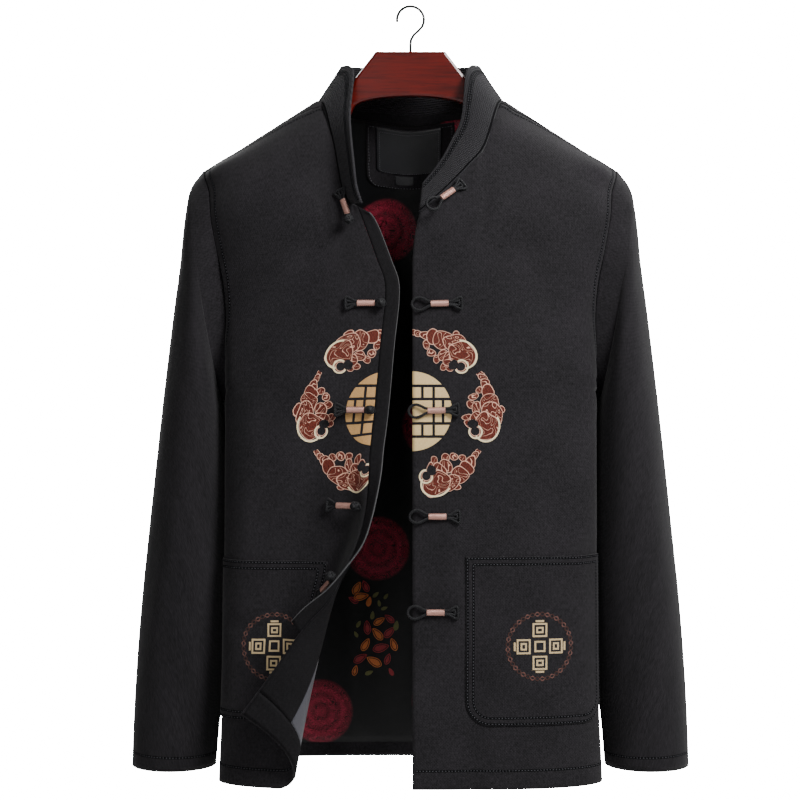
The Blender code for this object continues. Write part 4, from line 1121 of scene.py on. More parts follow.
def laid_out(sheet):
    """Lengths across and along a sheet, for weave and stitches (mm)."""
    across = np.linalg.norm(np.diff(sheet.p, axis=1), axis=2)
    along = np.linalg.norm(np.diff(sheet.p, axis=0), axis=2)
    u = np.concatenate([np.zeros((len(sheet.p), 1)), np.cumsum(across, axis=1)], 1)
    v = np.concatenate([np.zeros((1, sheet.p.shape[1])), np.cumsum(along, axis=0)], 0)
    return np.stack([u, v], 2)


def lift_at(spots, creases):
    """How far creases lift places of the front view (across, up) off the body (mm)."""
    lift = np.zeros(spots.shape[:-1])
    for x0, z0, x1, z1, width, height in creases:
        start, run = np.array([x0, z0]), np.array([x1 - x0, z1 - z0])
        t = ((spots - start) @ run) / (run @ run)
        off = np.linalg.norm(spots - start - np.clip(t, 0, 1)[..., None] * run, axis=-1)
        lift += height * np.exp(-(off / width) ** 2)
    return lift


def creased(sheet, creases, side):
    """Moves the front (side -1) or the rear (side 1) of a sheet by soft ridges and troughs."""
    lift = lift_at(sheet.p[..., (0, 2)], creases)
    weight = np.clip(sheet.n[..., 1] * side * 1.6 + 0.2, 0, 1) if side else 1.0
    sheet.p[..., 1] += (side or -1) * lift * weight
    normals = Sheet(sheet.p).n
    flip = np.sign(np.sum(normals * sheet.n, axis=2, keepdims=True))
    blend = np.clip(abs(lift) / 0.4, 0, 1)[..., None]
    sheet.n = sheet.n * (1 - blend) + normals * flip * blend
    sheet.n /= np.linalg.norm(sheet.n, axis=2, keepdims=True)
    return sheet


# ---------------------------------------------------------------- pieces

def cloth_piece(name, sheet, wall, kind, slot, nodes, merge=False):
    """One layer of cloth through a sheet's points, given its wall by Solidify."""
    rows, columns = sheet.p.shape[:2]
    mesh = bmesh.new()
    made = bmesh.ops.create_grid(mesh, x_segments=columns - 1, y_segments=rows - 1, size=1.0)["verts"]
    layer = mesh.loops.layers.uv.new("pattern")
    points, flat = sheet.p.reshape(-1, 3) * MM, sheet.uv.reshape(-1, 2)
    for vertex, point in zip(made, points):
        vertex.co = point
    mesh.verts.index_update()
    mesh.verts.ensure_lookup_table()
    for face in mesh.faces:
        for loop in face.loops:
            loop[layer].uv = flat[loop.vert.index]
    mesh.normal_update()
    middle = mesh.verts[(rows // 2) * columns + columns // 2]
    if middle.normal.dot(Vector(sheet.n[rows // 2, columns // 2])) < 0:
        bmesh.ops.reverse_faces(mesh, faces=mesh.faces[:])
    if merge:
        bmesh.ops.remove_doubles(mesh, verts=mesh.verts[:], dist=1e-6)
    piece = kept(name, mesh, kind)
    solid = piece.modifiers.new("wall", "SOLIDIFY")
    solid.thickness = abs(wall) * MM
    solid.offset = 1.0 if wall > 0 else -1.0
    placed(piece, slot, *nodes)
    # The cut of what shows: its greatest width and length
    across = np.linalg.norm(np.diff(sheet.p, axis=1), axis=2).sum(1).max()
    along = np.linalg.norm(np.diff(sheet.p, axis=0), axis=2).sum(0).max()
    return piece


def kept(name, mesh, kind, smooth=True):
    """A piece from a mesh, in one of the materials."""
    for face in mesh.faces:
        face.smooth = smooth
    data = bpy.data.meshes.new(name)
    mesh.to_mesh(data)
    mesh.free()
    data.materials.append(MATERIALS[kind]())
    piece = bpy.data.objects.new(name, data)
    bpy.context.scene.collection.objects.link(piece)
    return piece


def placed(piece, slot, *nodes):
    """Puts a piece on the jacket's body and hides the solids it stands in for; the slot is not used."""
    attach(piece, "root")
    if nodes:
        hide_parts(*nodes)
    return piece


class Pattern:
    """The jacket's sheets, worked out once for all pieces."""
    sheets = None

    @classmethod
    def get(cls):
        if cls.sheets is None:
            cls.sheets = patterned_sheets()
        return cls.sheets


def patterned_sheets():
    front, right_front, back, sleeve, collar = jacket_sheets()
    flat = front_sheet(NECKLINE_LEFT, lambda height: EDGE_LEFT.at(height)[0])
    front.uv = flat
    right_front.uv = laid_out(right_front)
    right_front.uv[..., 0] = right_front.uv[:, -1:, 0] - right_front.uv[..., 0]
    right_front.uv[..., 1] = panel_heights(right_front)[:, None]
    level = front_sheet(NECKLINE_RIGHT, lambda height: -TURN.at(height)[0])[:, ::-1]
    right_front.uv[:, :level.shape[1], 1] = level[..., 1]
    half = back_half()
    half[..., 0] = half[:, -1:, 0] - half[..., 0]
    other = half[:, ::-1][:, 1:] * [-1, 1]
    back.uv = np.concatenate([half, other], 1)
    sleeve.p = np.concatenate([sleeve.p, sleeve.p[:, :1]], 1)
    sleeve.n = np.concatenate([sleeve.n, sleeve.n[:, :1]], 1)
    sleeve.uv = laid_out(sleeve)
    sleeve_right = sleeve.mirrored()
    sleeve_right.uv = sleeve.uv[:, ::-1]
    collar.uv = laid_out(collar)
    return {"front_left": front, "front_right": right_front, "back": back, "sleeve_left": sleeve,
            "sleeve_right": sleeve_right, "collar": collar}


# Finer steps to each cell, across and along, by panel
STEPS = {"front_left": (6, 9), "front_right": (6, 9), "back": (5, 7), "sleeve_left": (4, 7),
         "sleeve_right": (4, 7), "collar": (6, 14)}
FINE = {}


def fine_sheet(name):
    """A panel's finer sheet with its creases, worked out once."""
    if name not in FINE:
        sheet = Pattern.get()[name]
        across, along = STEPS[name]
        fine = finer(sheet, places(sheet.p.shape[0], along), places(sheet.p.shape[1], across))
        side = 0 if name.startswith("front") else -1
        fine = creased(fine, CREASES.get(name, ()), side)
        if name in ("back", "sleeve_left", "sleeve_right"):
            fine = creased(fine, CREASES.get(name + "_rear", ()), 1)
        FINE[name] = fine
    return FINE[name]


def spots_on(name, rows, span, columns):
    """A sheet over part of a panel; rows and the columns that span gives are the panel's own."""
    across, along = STEPS[name]
    grid = []
    for row in rows:
        first, last = span(row)
        grid.append([(row * along, (first + (last - first) * j / columns) * across)
                     for j in range(columns + 1)])
    return sampled(fine_sheet(name), grid)


def ground(name):
    """Girth and height of a front's points, as far as it lies level."""
    if name == "front_left":
        return fine_sheet(name).uv
    level = front_sheet(NECKLINE_RIGHT, lambda height: -TURN.at(height)[0])[:, ::-1]
    across, along = STEPS[name]
    rows, columns = places(level.shape[0], along), places(level.shape[1], across)
    return through(through(level, rows, 0), columns, 1)


def on_front(name, grid):
    """A sheet on a front through a grid of girths and heights."""
    flat = ground(name)
    low = LOW_ROWS * STEPS[name][1] + 1
    order = slice(None) if flat[0, -1, 0] > flat[0, 0, 0] else slice(None, None, -1)
    columns = np.arange(flat.shape[1])[order]
    spots = []
    for line in grid:
        spots.append([])
        for girth, height in line:
            row = np.interp(height, flat[:low, 0, 1], range(low))
            below = min(int(row), low - 2)
            girths = flat[below, :, 0] + (row - below) * (flat[below + 1, :, 0] - flat[below, :, 0])
            spots[-1].append((row, np.interp(girth, girths[order], columns)))
    sheet = sampled(fine_sheet(name), spots)
    sheet.uv = np.array(grid, float)
    return sheet


def shifted(sheet, distance):
    """The same sheet, moved along its normals."""
    moved = sheet.part(slice(None), slice(None))
    moved.p = sheet.moved(distance)
    return moved


def row_at(sheet, distance, from_top=False):
    """The row at a distance along a sheet's middle from its first row, or from its last."""
    line = sheet.p[:, sheet.p.shape[1] // 2]
    line = line[::-1] if from_top else line
    lengths = lengths_along(line)
    row = np.interp(distance, lengths, range(len(lengths)))
    return len(lengths) - 1 - row if from_top else row


def traced(sheet, path):
    """Points and normals along rows and columns of a sheet."""
    found = [sample(sheet, row, column) for row, column in path]
    return [np.array([spot[k] for spot in found]) for k in (0, 1)]


def stitched(mesh, sheet, path, lift, pitch=3.4, length=2.4, radius=0.55, groove=None):
    """Lays stitches along rows and columns of a sheet, each a bead half sunk in its groove."""
    points, normals = traced(sheet, path)
    steps = lengths_along(points)
    if steps[-1] < pitch:
        return
    # A band of painted shade along the row, where a mesh for it is given
    if groove is not None:
        ribbon(groove, points, normals, lift)
    for at in np.arange(pitch / 2, steps[-1], pitch):
        low, high = (Vector([np.interp(at + way * length / 2, steps, points[:, k]) for k in range(3)])
                     for way in (-1, 1))
        normal = Vector([np.interp(at, steps, normals[:, k]) for k in range(3)]).normalized()
        along = high - low
        if along.length < 0.3:
            continue
        along.normalize()
        normal = (normal - along * normal.dot(along)).normalized()
        turn = standing(along, normal, ((low + high) / 2 + normal * lift) * MM)
        size = Matrix.Diagonal((length / 2 * MM, radius * MM, radius * 0.7 * MM, 1.0))
        bmesh.ops.create_icosphere(mesh, subdivisions=1, radius=1.0, matrix=turn @ size)


def ribbon(mesh, points, normals, lift, width=2.3):
    """A dark band of painted shade in the groove of a seam or row of stitches, just clear of the cloth."""
    ahead = np.gradient(points, axis=0)
    ahead /= np.maximum(np.linalg.norm(ahead, axis=1, keepdims=True), 1e-9)
    side = np.cross(ahead, normals) * width / 2
    edges = []
    for way in (-1, 1):
        line = points + side * way + normals * (lift + 0.12)
        verts = [mesh.verts.new(Vector(spot) * MM) for spot in line]
        edges += [mesh.edges.new(pair) for pair in zip(verts, verts[1:])]
    bmesh.ops.bridge_loops(mesh, edges=edges)


def down_column(sheet, distance, first, last, step, count=120):
    """A path along a sheet at a distance in from its edge columns."""
    edge = sheet.p.shape[1] - 1 if step < 0 else 0
    path = []
    for row in np.linspace(first, last, count):
        whole = min(int(row), sheet.p.shape[0] - 2)
        line = sheet.p[whole] + (row - whole) * (sheet.p[whole + 1] - sheet.p[whole])
        line = line[::-1] if step < 0 else line
        lengths = lengths_along(line)
        path.append((row, edge + step * np.interp(distance, lengths, range(len(lengths)))))
    return path


def along_row(sheet, row, first=0.0, last=1.0, count=160):
    """A path along a row, between two fractions of its width."""
    return [(row, (sheet.p.shape[1] - 1) * t) for t in np.linspace(first, last, count)]


def frogs():
    """Each frog's name, its kind and where it lies."""
    sheets = Pattern.get()
    for kind, name, step, table in (("loop", "front_left", 1, LOOPS), ("knot", "front_right", -1, KNOTS)):
        sheet = sheets[name]
        heights = sheet.p[:, 0, 2] if kind == "loop" else panel_heights(sheet)
        for i, (height, start, slope, raised) in enumerate(table, 1):
            row = np.interp(height, heights, range(len(heights)))
            place = frog_frame(sheet, row, start, step, slope, raised)
            middle = place @ Vector((0.027, 0, 0)) / MM
            place.translation.y -= lift_at(np.array([middle.x, middle.z]), CREASES.get(name, ())) * MM
            yield "%s_%d" % (kind, i), kind, place


def tube(name, paths, radius, sides=1):
    """Round cords along closed paths of points in metres, made a mesh."""
    curve = bpy.data.curves.new(name, "CURVE")
    curve.dimensions = "3D"
    curve.bevel_depth, curve.bevel_resolution, curve.use_fill_caps = radius * MM, sides, True
    for path, closed in paths:
        spline = curve.splines.new("POLY")
        spline.points.add(len(path) - 1)
        for point, place in zip(spline.points, path):
            point.co = (*place, 1.0)
        spline.use_cyclic_u = closed
    holder = bpy.data.objects.new(name, curve)
    bpy.context.scene.collection.objects.link(holder)
    depsgraph = bpy.context.evaluated_depsgraph_get()
    data = bpy.data.meshes.new_from_object(holder.evaluated_get(depsgraph))
    bpy.data.objects.remove(holder)
    mesh = bmesh.new()
    mesh.from_mesh(data)
    bmesh.ops.remove_doubles(mesh, verts=mesh.verts[:], dist=1e-7)
    bmesh.ops.recalc_face_normals(mesh, faces=mesh.faces[:])
    return mesh


def smooth_path(points, closed, count):
    """Many points on a smooth curve through a few, and its length."""
    points = np.array(points, float)
    ring = np.concatenate([points[-2:], points, points[:3]]) if closed else points
    fine = through(ring, np.linspace(0, len(ring) - 1, (len(ring) - 1) * 10 + 1), 0)
    if closed:
        fine = fine[20:20 + len(points) * 10 + 1]
    steps = lengths_along(fine)
    at = np.linspace(0, steps[-1], count, endpoint=not closed)
    return np.stack([np.interp(at, steps, fine[:, k]) for k in range(3)], 1), steps[-1]


def plied(path, length, closed, radius, pitch):
    """Three plies twisted round a path, so that a cord shows its lay."""
    ahead = np.roll(path, -1, 0) - np.roll(path, 1, 0) if closed else np.gradient(path, axis=0)
    ahead /= np.linalg.norm(ahead, axis=1, keepdims=True)
    side = np.cross(ahead, [0, 0, 1.0])
    side /= np.maximum(np.linalg.norm(side, axis=1, keepdims=True), 1e-6)
    up = np.cross(side, ahead)
    turns = max(round(length / pitch), 1)
    angle = np.linspace(0, 2 * math.pi * turns, len(path), endpoint=not closed)
    return [path + radius * (side * np.cos(angle + k)[:, None] + up * np.sin(angle + k)[:, None])
            for k in (0.0, 2 * math.pi / 3, 4 * math.pi / 3)]


def woven_ball(radius):
    """One cord laid round a ball in four lobes, three times over and under itself."""
    t = np.linspace(0, 2 * math.pi * 3, 200, endpoint=False)
    rise = 1.0 * np.sin(4 * t / 3)
    out = radius + 0.45 * np.cos(8 * t / 3)
    return np.stack([out * np.cos(rise) * np.cos(t), out * np.sin(rise), out * np.cos(rise) * np.sin(t)], 1)


def in_place(frame, points):
    """Points of a frog's own frame (mm) in metres on the jacket."""
    return [tuple(frame @ (Vector(point) * MM)) for point in points]


# ---------------------------------------------------------------- sizes a user would change

class JacketSizes(bpy.types.PropertyGroup):
    """Sizes of the jacket's cloth and trims."""
    cloth: FloatProperty(name="Cloth", description="Wall of the jacket cloth in mm", default=1.8,
                         min=0.5, max=2.0)
    lining: FloatProperty(name="Lining", description="Wall of linings in mm", default=0.5, min=0.2, max=0.9)
    stitch: FloatProperty(name="Stitch", description="Length of one topstitch and its gap in mm", default=3.4,
                          min=2.0, max=8.0)


class StudioSettings(bpy.types.PropertyGroup):
    """The studio round the jacket."""
    key_power: FloatProperty(name="Key light", description="Power of the key light", default=76.0,
                             unit="POWER")
    fill_power: FloatProperty(name="Fill light", description="Power of the fill light", default=11.0,
                              unit="POWER")
    rear_power: FloatProperty(name="Rear light", description="Power of the light behind", default=30.0,
                              unit="POWER")
    backdrop: FloatVectorProperty(name="Backdrop", description="Colour of the floor and backdrop",
                                  default=(0.55, 0.55, 0.55), subtype="COLOR", min=0.0, max=1.0)


# ---------------------------------------------------------------- operators

class JACKET_OT_panels(bpy.types.Operator):
    """Cuts and hangs the fronts, back, sleeves and collar"""
    bl_idname = "jacket.panels"
    bl_label = "Panels"

    def execute(self, context):
        wall = context.scene.jacket_sizes.cloth
        for name, kind in (("front_left", "front_left"), ("front_right", "front_right"), ("back", "cloth")):
            cloth_piece(name + "_cloth", fine_sheet(name), wall, kind, "jacket_cloth", [name])
        for side in ("left", "right"):
            cloth_piece("sleeve_%s_cloth" % side, fine_sheet("sleeve_" + side), wall, "cloth", "jacket_cloth",
                        ["sleeve_" + side], merge=True)
        cloth_piece("collar_cloth", fine_sheet("collar"), COLLAR_WALL, "collar", "collar_cloth", ["collar"])
        return {"FINISHED"}


class JACKET_OT_edge(bpy.types.Operator):
    """Sews the underlap strip, facing, hem band and lining of the turned edge"""
    bl_idname = "jacket.edge"
    bl_label = "Turned edge"

    def execute(self, context):
        sizes = context.scene.jacket_sizes
        panel, fine = Pattern.get()["front_right"], fine_sheet("front_right")
        heights = panel_heights(panel)
        first = np.interp(STRIP_END, heights, range(len(heights))) * STEPS["front_right"][1]
        points, normals, flat = [], [], []
        for row in np.linspace(first, fine.p.shape[0] - 1, 130):
            edge, normal, spot = sample(fine, row, fine.p.shape[1] - 1)
            before = sample(fine, row, fine.p.shape[1] - 3)[0]
            outward = (edge - before) / np.linalg.norm(edge - before)
            reaches = (0.15, 3.0, 6.0, 9.0, 12.0, STRIP_WIDTH)
            points.append([edge + outward * reach for reach in reaches])
            normals.append([normal] * len(reaches))
            flat.append([(reach, spot[1]) for reach in reaches])
        strip = Sheet(np.array(points))
        strip.n, strip.uv = np.array(normals), np.array(flat)
        cloth_piece("underlap_strip_cloth", strip, sizes.cloth, "strip", "jacket_cloth", ["underlap_strip"])
        rim = [tuple((p[-1] + n[-1] * sizes.cloth * 0.55) * MM) for p, n in zip(strip.p, strip.n)]
        mesh = tube("piping", [(rim, False)], PIPING)
        placed(kept("underlap_piping", mesh, "piping"), "jacket_cloth")

        edge = panel.p.shape[1] - 1
        level = edge - FLAP_COLUMNS - 1

        def facing_start(row):
            return max(column_from_edge(panel, min(row, panel.p.shape[0] - 1.01), FACING_WIDTH, -1), level)

        facing = spots_on("front_right", np.linspace(HEM_BAND + 0.02, LOW_ROWS - 2, 70),
                          lambda row: (facing_start(row), edge - 0.06), 24)
        cloth_piece("facing_cloth", shifted(facing, -0.5), -0.8, "strip", "jacket_cloth", ["facing_right"])
        band = spots_on("front_right", np.linspace(0.06, HEM_BAND, 8), lambda row: (level, edge - 0.06), 60)
        cloth_piece("hem_band_cloth", shifted(band, -0.5), -0.8, "strip", "jacket_cloth", ["hem_band_right"])
        # The corner's lining, in black satin drawn grey as a painted sheen
        lining = spots_on("front_right", np.linspace(HEM_BAND + 0.02, 5, 30),
                          lambda row: (level, facing_start(row)), 24)
        cloth_piece("corner_lining", shifted(lining, -0.4), -sizes.lining, "painted_sheen_satin", "lining_satin",
                    ["lining_right"])
        return {"FINISHED"}


INSIDE = {}     # the patches inside the neck, for their stitching


class JACKET_OT_inside(bpy.types.Operator):
    """Lines the back, and sews in the neck facing, the bare label and the bare size tab"""
    bl_idname = "jacket.inside"
    bl_label = "Inside"

    def execute(self, context):
        sizes = context.scene.jacket_sizes
        last = Pattern.get()["back"].p.shape[1] - 3
        top = LOW_ROWS + ARM_ROWS
        lining = spots_on("back", np.linspace(0.5, top, 90), lambda row: (2, last), 120)
        cloth_piece("back_lining", shifted(lining, -0.7), -sizes.lining, "lining", "lining_satin",
                    ["lining_back"])
        fine = fine_sheet("back")
        middle = fine.p.shape[1] // 2
        heights = fine.p[:, middle, 2]

        def place(x, height):
            row = np.interp(height, heights, range(len(heights)))
            whole = int(row)
            across = fine.p[whole, :, 0]
            return row, np.interp(-x, -across, range(len(across)))

        for name, centre, half, top, bottom, corner, kind, slot, depth, wall in INSIDE_NECK:
            grid = rounded_patch(centre, half, top, bottom, corner, place, 40, 16, 10)
            patch = sampled(fine, grid)
            cloth_piece(name + "_cloth", shifted(patch, -depth), -wall, kind, slot, [name])
            INSIDE[name] = patch, depth, wall
        return {"FINISHED"}


class JACKET_OT_spray(bpy.types.Operator):
    """Embroiders a spray of leaves on the back's lining"""
    bl_idname = "jacket.spray"
    bl_label = "Leaf spray"

    def execute(self, context):
        fine = fine_sheet("back")
        heights = fine.p[:, fine.p.shape[1] // 2, 2]
        made = {}
        for x, height, turn, length, kind in SPRAY:
            row = np.interp(height, heights, range(len(heights)))
            across = fine.p[int(row), :, 0]
            point, normal, _ = sample(fine, row, np.interp(-x, -across, range(len(across))))
            off = Vector(-normal)
            along = Vector((math.cos(math.radians(turn)), 0, math.sin(math.radians(turn))))
            along = (along - off * along.dot(off)).normalized()
            frame = standing(along, off, (Vector(point) + off * SPRAY_LIFT) * MM)
            if kind not in made:
                made[kind] = bmesh.new()
            mesh = made[kind]
            leaf = bmesh.ops.create_circle(mesh, cap_ends=True, segments=18, radius=1.0)["verts"]
            for vertex in leaf:
                # A circle drawn out to a leaf, broad near its foot and pointed at both ends
                x, y = vertex.co.x, vertex.co.y
                y *= (1 - 0.3 * x) * (1 - 0.35 * x ** 4)
                vertex.co = (x * length / 2 * MM, y * length * 0.25 * MM, 0)
            face = leaf[0].link_faces[0]
            bmesh.ops.inset_individual(mesh, faces=[face], thickness=0.95 * MM)
            if length > OPEN_LEAF:
                inner = bmesh.ops.inset_individual(mesh, faces=[face], thickness=0.9 * MM)["faces"]
                bmesh.ops.delete(mesh, geom=inner, context="FACES")
            new = [v for v in mesh.verts if not v.tag]
            if length > OPEN_LEAF:
                bmesh.ops.poke(mesh, faces=[face])
            faces = list(dict.fromkeys(f for v in new for f in v.link_faces))
            wall = bmesh.ops.extrude_face_region(mesh, geom=faces)["geom"]
            lifted = [g for g in wall if isinstance(g, bmesh.types.BMVert)]
            bmesh.ops.translate(mesh, vec=(0, 0, 0.35 * MM), verts=lifted)
            turned = [v for v in mesh.verts if not v.tag]
            bmesh.ops.transform(mesh, matrix=frame, verts=turned)
            for vertex in mesh.verts:
                vertex.tag = True
        for kind, mesh in made.items():
            bmesh.ops.recalc_face_normals(mesh, faces=mesh.faces[:])
            placed(kept("spray_" + kind, mesh, kind, smooth=False), "frog_thread")
        return {"FINISHED"}


OPEN_LEAF = 12          # leaves longer than this are open in the middle (mm)
SPRAY_LIFT = 1.35       # of the spray in from the back's outer face

# Leaves of the spray: place across and up, lean (degrees), length and thread
SPRAY = (
    (-62, -658, 60, 17, "orange"), (-52, -656, 115, 15, "red"), (-57, -668, 10, 18, "orange"),
    (-66, -672, 150, 13, "red"), (-48, -674, 75, 12, "orange"), (-40, -666, 40, 9, "olive"),
    (-36, -676, 100, 8, "olive"), (-28, -668, 55, 8, "olive"), (-30, -682, 20, 8, "olive"),
    (-44, -690, 85, 10, "olive"), (-60, -700, 60, 9, "olive"), (-63, -712, 120, 8, "olive"),
    (-36, -697, 30, 15, "orange"), (-24, -694, 140, 14, "red"), (-50, -704, 95, 17, "red"),
    (-38, -712, 130, 18, "orange"), (-24, -710, 45, 17, "red"), (-16, -702, 80, 12, "olive"),
    (-52, -724, 60, 17, "orange"), (-34, -728, 15, 20, "red"), (-19, -724, 110, 16, "orange"),
    (-58, -740, 30, 18, "red"), (-42, -744, 150, 20, "orange"), (-26, -741, 70, 14, "red"),
    (-64, -754, 75, 13, "orange"), (-48, -757, 20, 10, "olive"), (-22, -756, 120, 10, "red"),
)


class JACKET_OT_pockets(bpy.types.Operator):
    """Cuts the two patch pockets"""
    bl_idname = "jacket.pockets"
    bl_label = "Pockets"

    def execute(self, context):
        wall = context.scene.jacket_sizes.cloth
        for pocket in POCKETS:
            side, sheet = pocket[0], pocket_sheet(*pocket)
            cloth_piece("pocket_%s_cloth" % side, shifted(sheet, wall + 0.1), 1.5, "pocket_" + side,
                        "jacket_cloth", ["pocket_" + side])
        return {"FINISHED"}


def pocket_sheet(side, near, width, top, bottom, inset=0.0, columns=70, rows=50, turns=14):
    """A pocket on its front, or the patch that lies so far in from the pocket's edge."""
    def place(girth, height):
        turn = 0.0 if side == "left" else 4.0 - TURN.at(height)[0]
        return girth_clear(girth, girth_at_width(height, turn), near, width), height

    grid = rounded_patch(near + width / 2, width / 2 - inset, top - inset, bottom + inset,
                         POCKET_CORNER - inset, place, columns, rows, turns)
    return on_front("front_" + side, grid)


class JACKET_OT_frogs(bpy.types.Operator):
    """Knots the frogs of plied cord and winds their thread"""
    bl_idname = "jacket.frogs"
    bl_label = "Frogs"

    def execute(self, context):
        for name, kind, frame in frogs():
            if kind == "loop":
                half = [(x + CORD, y, CORD_HEIGHT) for x, y in strand(LOOP_RADIUS, 0.0)]
                route, shorter = half + [(x, -y, z) for x, y, z in half[:0:-1]], 0.0
            else:
                half = [(x, y, CORD_HEIGHT) for x, y in strand(0.0, KNOT_START, KNOT_SHORTER)]
                route, shorter = half + [(x, -y, z) for x, y, z in half[::-1]], KNOT_SHORTER
            fan = [(x - shorter, y, CORD_HEIGHT - 0.6) for x, y in
                   ((WRAP[1] - 4, 0.7), (WRAP[1] + 3, 1.1), (50.0, 2.2), (FROG_LENGTH - 2.6, 2.4))]
            fan += [(x, -y, z) for x, y, z in fan[::-1]]
            plies = []
            for points in (route, fan):
                path, length = smooth_path(points, True, 150 if points is route else 60)
                path[:, 1] *= 0.82 + 0.18 * np.clip(abs(path[:, 1]) / 4.0, 0, 1)
                plies += [(in_place(frame, ply), True) for ply in plied(path, length, True, PLY_OUT, LAY)]
            mesh = tube(name, plies, PLY)
            if kind == "knot":
                middle = (KNOT + 0.7, 0, CORD_HEIGHT + KNOT_RAISE)
                turned = woven_ball(KNOT - 1.5) + middle
                ball = tube(name, [(in_place(frame, turned), True)], BALL_CORD)
                bmesh.ops.create_uvsphere(ball, u_segments=16, v_segments=10, radius=(KNOT - 1.2) * MM,
                                          matrix=frame @ Matrix.Translation(Vector(middle) * MM))
                joined = bpy.data.meshes.new("ball")
                ball.to_mesh(joined)
                ball.free()
                mesh.from_mesh(joined)
            placed(kept(name + "_cord", mesh, "cord"), "frog_cord", "frog_" + name)
            self.wind(name, frame, shorter)
        return {"FINISHED"}

    def wind(self, name, frame, shorter):
        """Winds thread side by side round the two strands."""
        first, last = WRAP[0] - shorter, WRAP[1] - shorter
        mesh = bmesh.new()
        ring = bmesh.ops.create_circle(mesh, segments=20, radius=1.0)["verts"]
        edges = list(ring[0].link_edges) + [e for v in ring for e in v.link_edges]
        edges = list(dict.fromkeys(edges))
        steps = WRAP_TURNS * 3
        rings = [ring]
        for _ in range(steps):
            drawn = bmesh.ops.extrude_edge_only(mesh, edges=edges)["geom"]
            edges = [g for g in drawn if isinstance(g, bmesh.types.BMEdge)
                     and all(v in drawn for v in g.verts)]
            rings.append([g for g in drawn if isinstance(g, bmesh.types.BMVert)])
        for i, verts in enumerate(rings):
            swell = 0.26 if i % 3 else 0.0
            x = first + (last - first) * i / steps
            for vertex in verts:
                angle = math.atan2(vertex.co.y, vertex.co.x)
                half, high = WRAP_HALF[0] + swell, WRAP_HALF[1] + swell
                spot = (x, half * math.cos(angle), CORD_HEIGHT + high * math.sin(angle))
                vertex.co = frame @ (Vector(spot) * MM)
        bmesh.ops.holes_fill(mesh, edges=[e for e in mesh.edges if e.is_boundary], sides=0)
        bmesh.ops.recalc_face_normals(mesh, faces=mesh.faces[:])
        placed(kept(name + "_thread", mesh, "copper"), "frog_thread", "wrap_" + name)


class JACKET_OT_stitching(bpy.types.Operator):
    """Topstitches the edges, pockets, hems, armholes, facing and label"""
    bl_idname = "jacket.stitching"
    bl_label = "Topstitching"

    def execute(self, context):
        sizes = context.scene.jacket_sizes
        wall, pitch = sizes.cloth, sizes.stitch
        mesh, groove = bmesh.new(), bmesh.new()

        def row_of(sheet, path, lift=wall):
            stitched(mesh, sheet, path, lift, pitch, groove=groove)

        low = LOW_ROWS * STEPS["front_left"][1]
        for name, step in (("front_left", 1), ("front_right", -1)):
            sheet = fine_sheet(name)
            top, across = sheet.p.shape[0] - 1, sheet.p.shape[1] - 1
            shoulder = SHOULDER_COLUMNS * STEPS[name][0]
            row_of(sheet, along_row(sheet, row_at(sheet, 20.0), 0.01, 0.99))
            row_of(sheet, down_column(sheet, 6.5 if step > 0 else 9.5, low, top - 2, -step))
            seam = row_at(sheet, 6.0, True)
            span = (across - shoulder, across) if step > 0 else (0, shoulder)
            row_of(sheet, [(seam, c) for c in np.linspace(*span, 120)])
            # The seams themselves, drawn in as dark bands of painted shade
            for path in (down_column(sheet, 0.6, 2, top - 1, -step),
                         [(top - 0.12, c) for c in np.linspace(*span, 120)]):
                ribbon(groove, *traced(sheet, path), wall, 1.7)
        for side in ("left", "right"):
            sleeve = fine_sheet("sleeve_" + side)
            row_of(sleeve, along_row(sleeve, row_at(sleeve, 15.0, True), count=260))
        back = fine_sheet("back")
        row_of(back, along_row(back, row_at(back, 20.0), 0.005, 0.995, 260))
        for pocket in POCKETS:
            for inset in (1.8, 8.2):
                sheet = pocket_sheet(*pocket, inset, 40, 30, 10)
                rows, columns = (n - 1 for n in sheet.p.shape[:2])
                for path in ([(rows * t, 0) for t in np.linspace(1, 0, 80)],
                             [(0, columns * t) for t in np.linspace(0, 1, 80)],
                             [(rows * t, columns) for t in np.linspace(0, 1, 80)],
                             [(rows, columns * t) for t in np.linspace(0, 1, 80)]):
                    row_of(sheet, path, wall + 1.6)
        collar = fine_sheet("collar")
        for inset in (8.0, 11.5):
            row_of(collar, along_row(collar, row_at(collar, inset, True), 0.01, 0.99, 300), COLLAR_WALL)
        # A dark band of painted shade along the collar's seam
        seam = along_row(collar, row_at(collar, 2.4), 0.003, 0.997, 300)
        ribbon(groove, *traced(collar, seam), COLLAR_WALL, 2.2)
        placed(kept("topstitching", mesh, "seam"), "frog_thread")
        placed(kept("stitch_groove_shade", groove, "groove"), "frog_thread")

        mesh = bmesh.new()
        for name, inset, lift, step in (("neck_facing", 2.6, 0.0, pitch), ("label", 4.5, 0.0, 2.6)):
            patch, depth, wall = INSIDE[name]
            rows, columns = (n - 1 for n in patch.p.shape[:2])
            a, b = rows * inset / 60, columns * inset / 90
            path = ([(rows - a, b + (columns - 2 * b) * t) for t in np.linspace(0, 1, 60)],
                    [(a, b + (columns - 2 * b) * t) for t in np.linspace(0, 1, 60)],
                    [(a + (rows - 2 * a) * t, b) for t in np.linspace(0, 1, 60)],
                    [(a + (rows - 2 * a) * t, columns - b) for t in np.linspace(0, 1, 60)])
            for line in path:
                stitched(mesh, patch, line, -depth - wall, step, step * 0.65, 0.36)
        placed(kept("neck_stitching", mesh, "pale"), "frog_thread")
        return {"FINISHED"}


# The hook's wire (mm): its radius, the crook's radius and height, and the shank, across and in height
HOOK_WIRE = 1.6
HOOK_RADIUS = 15.0
HOOK_MIDDLE = -13.8
HOOK_SHANK = ((0, -50.5), (0, -42), (0.6, -36), (4, -30.5), (9, -26))


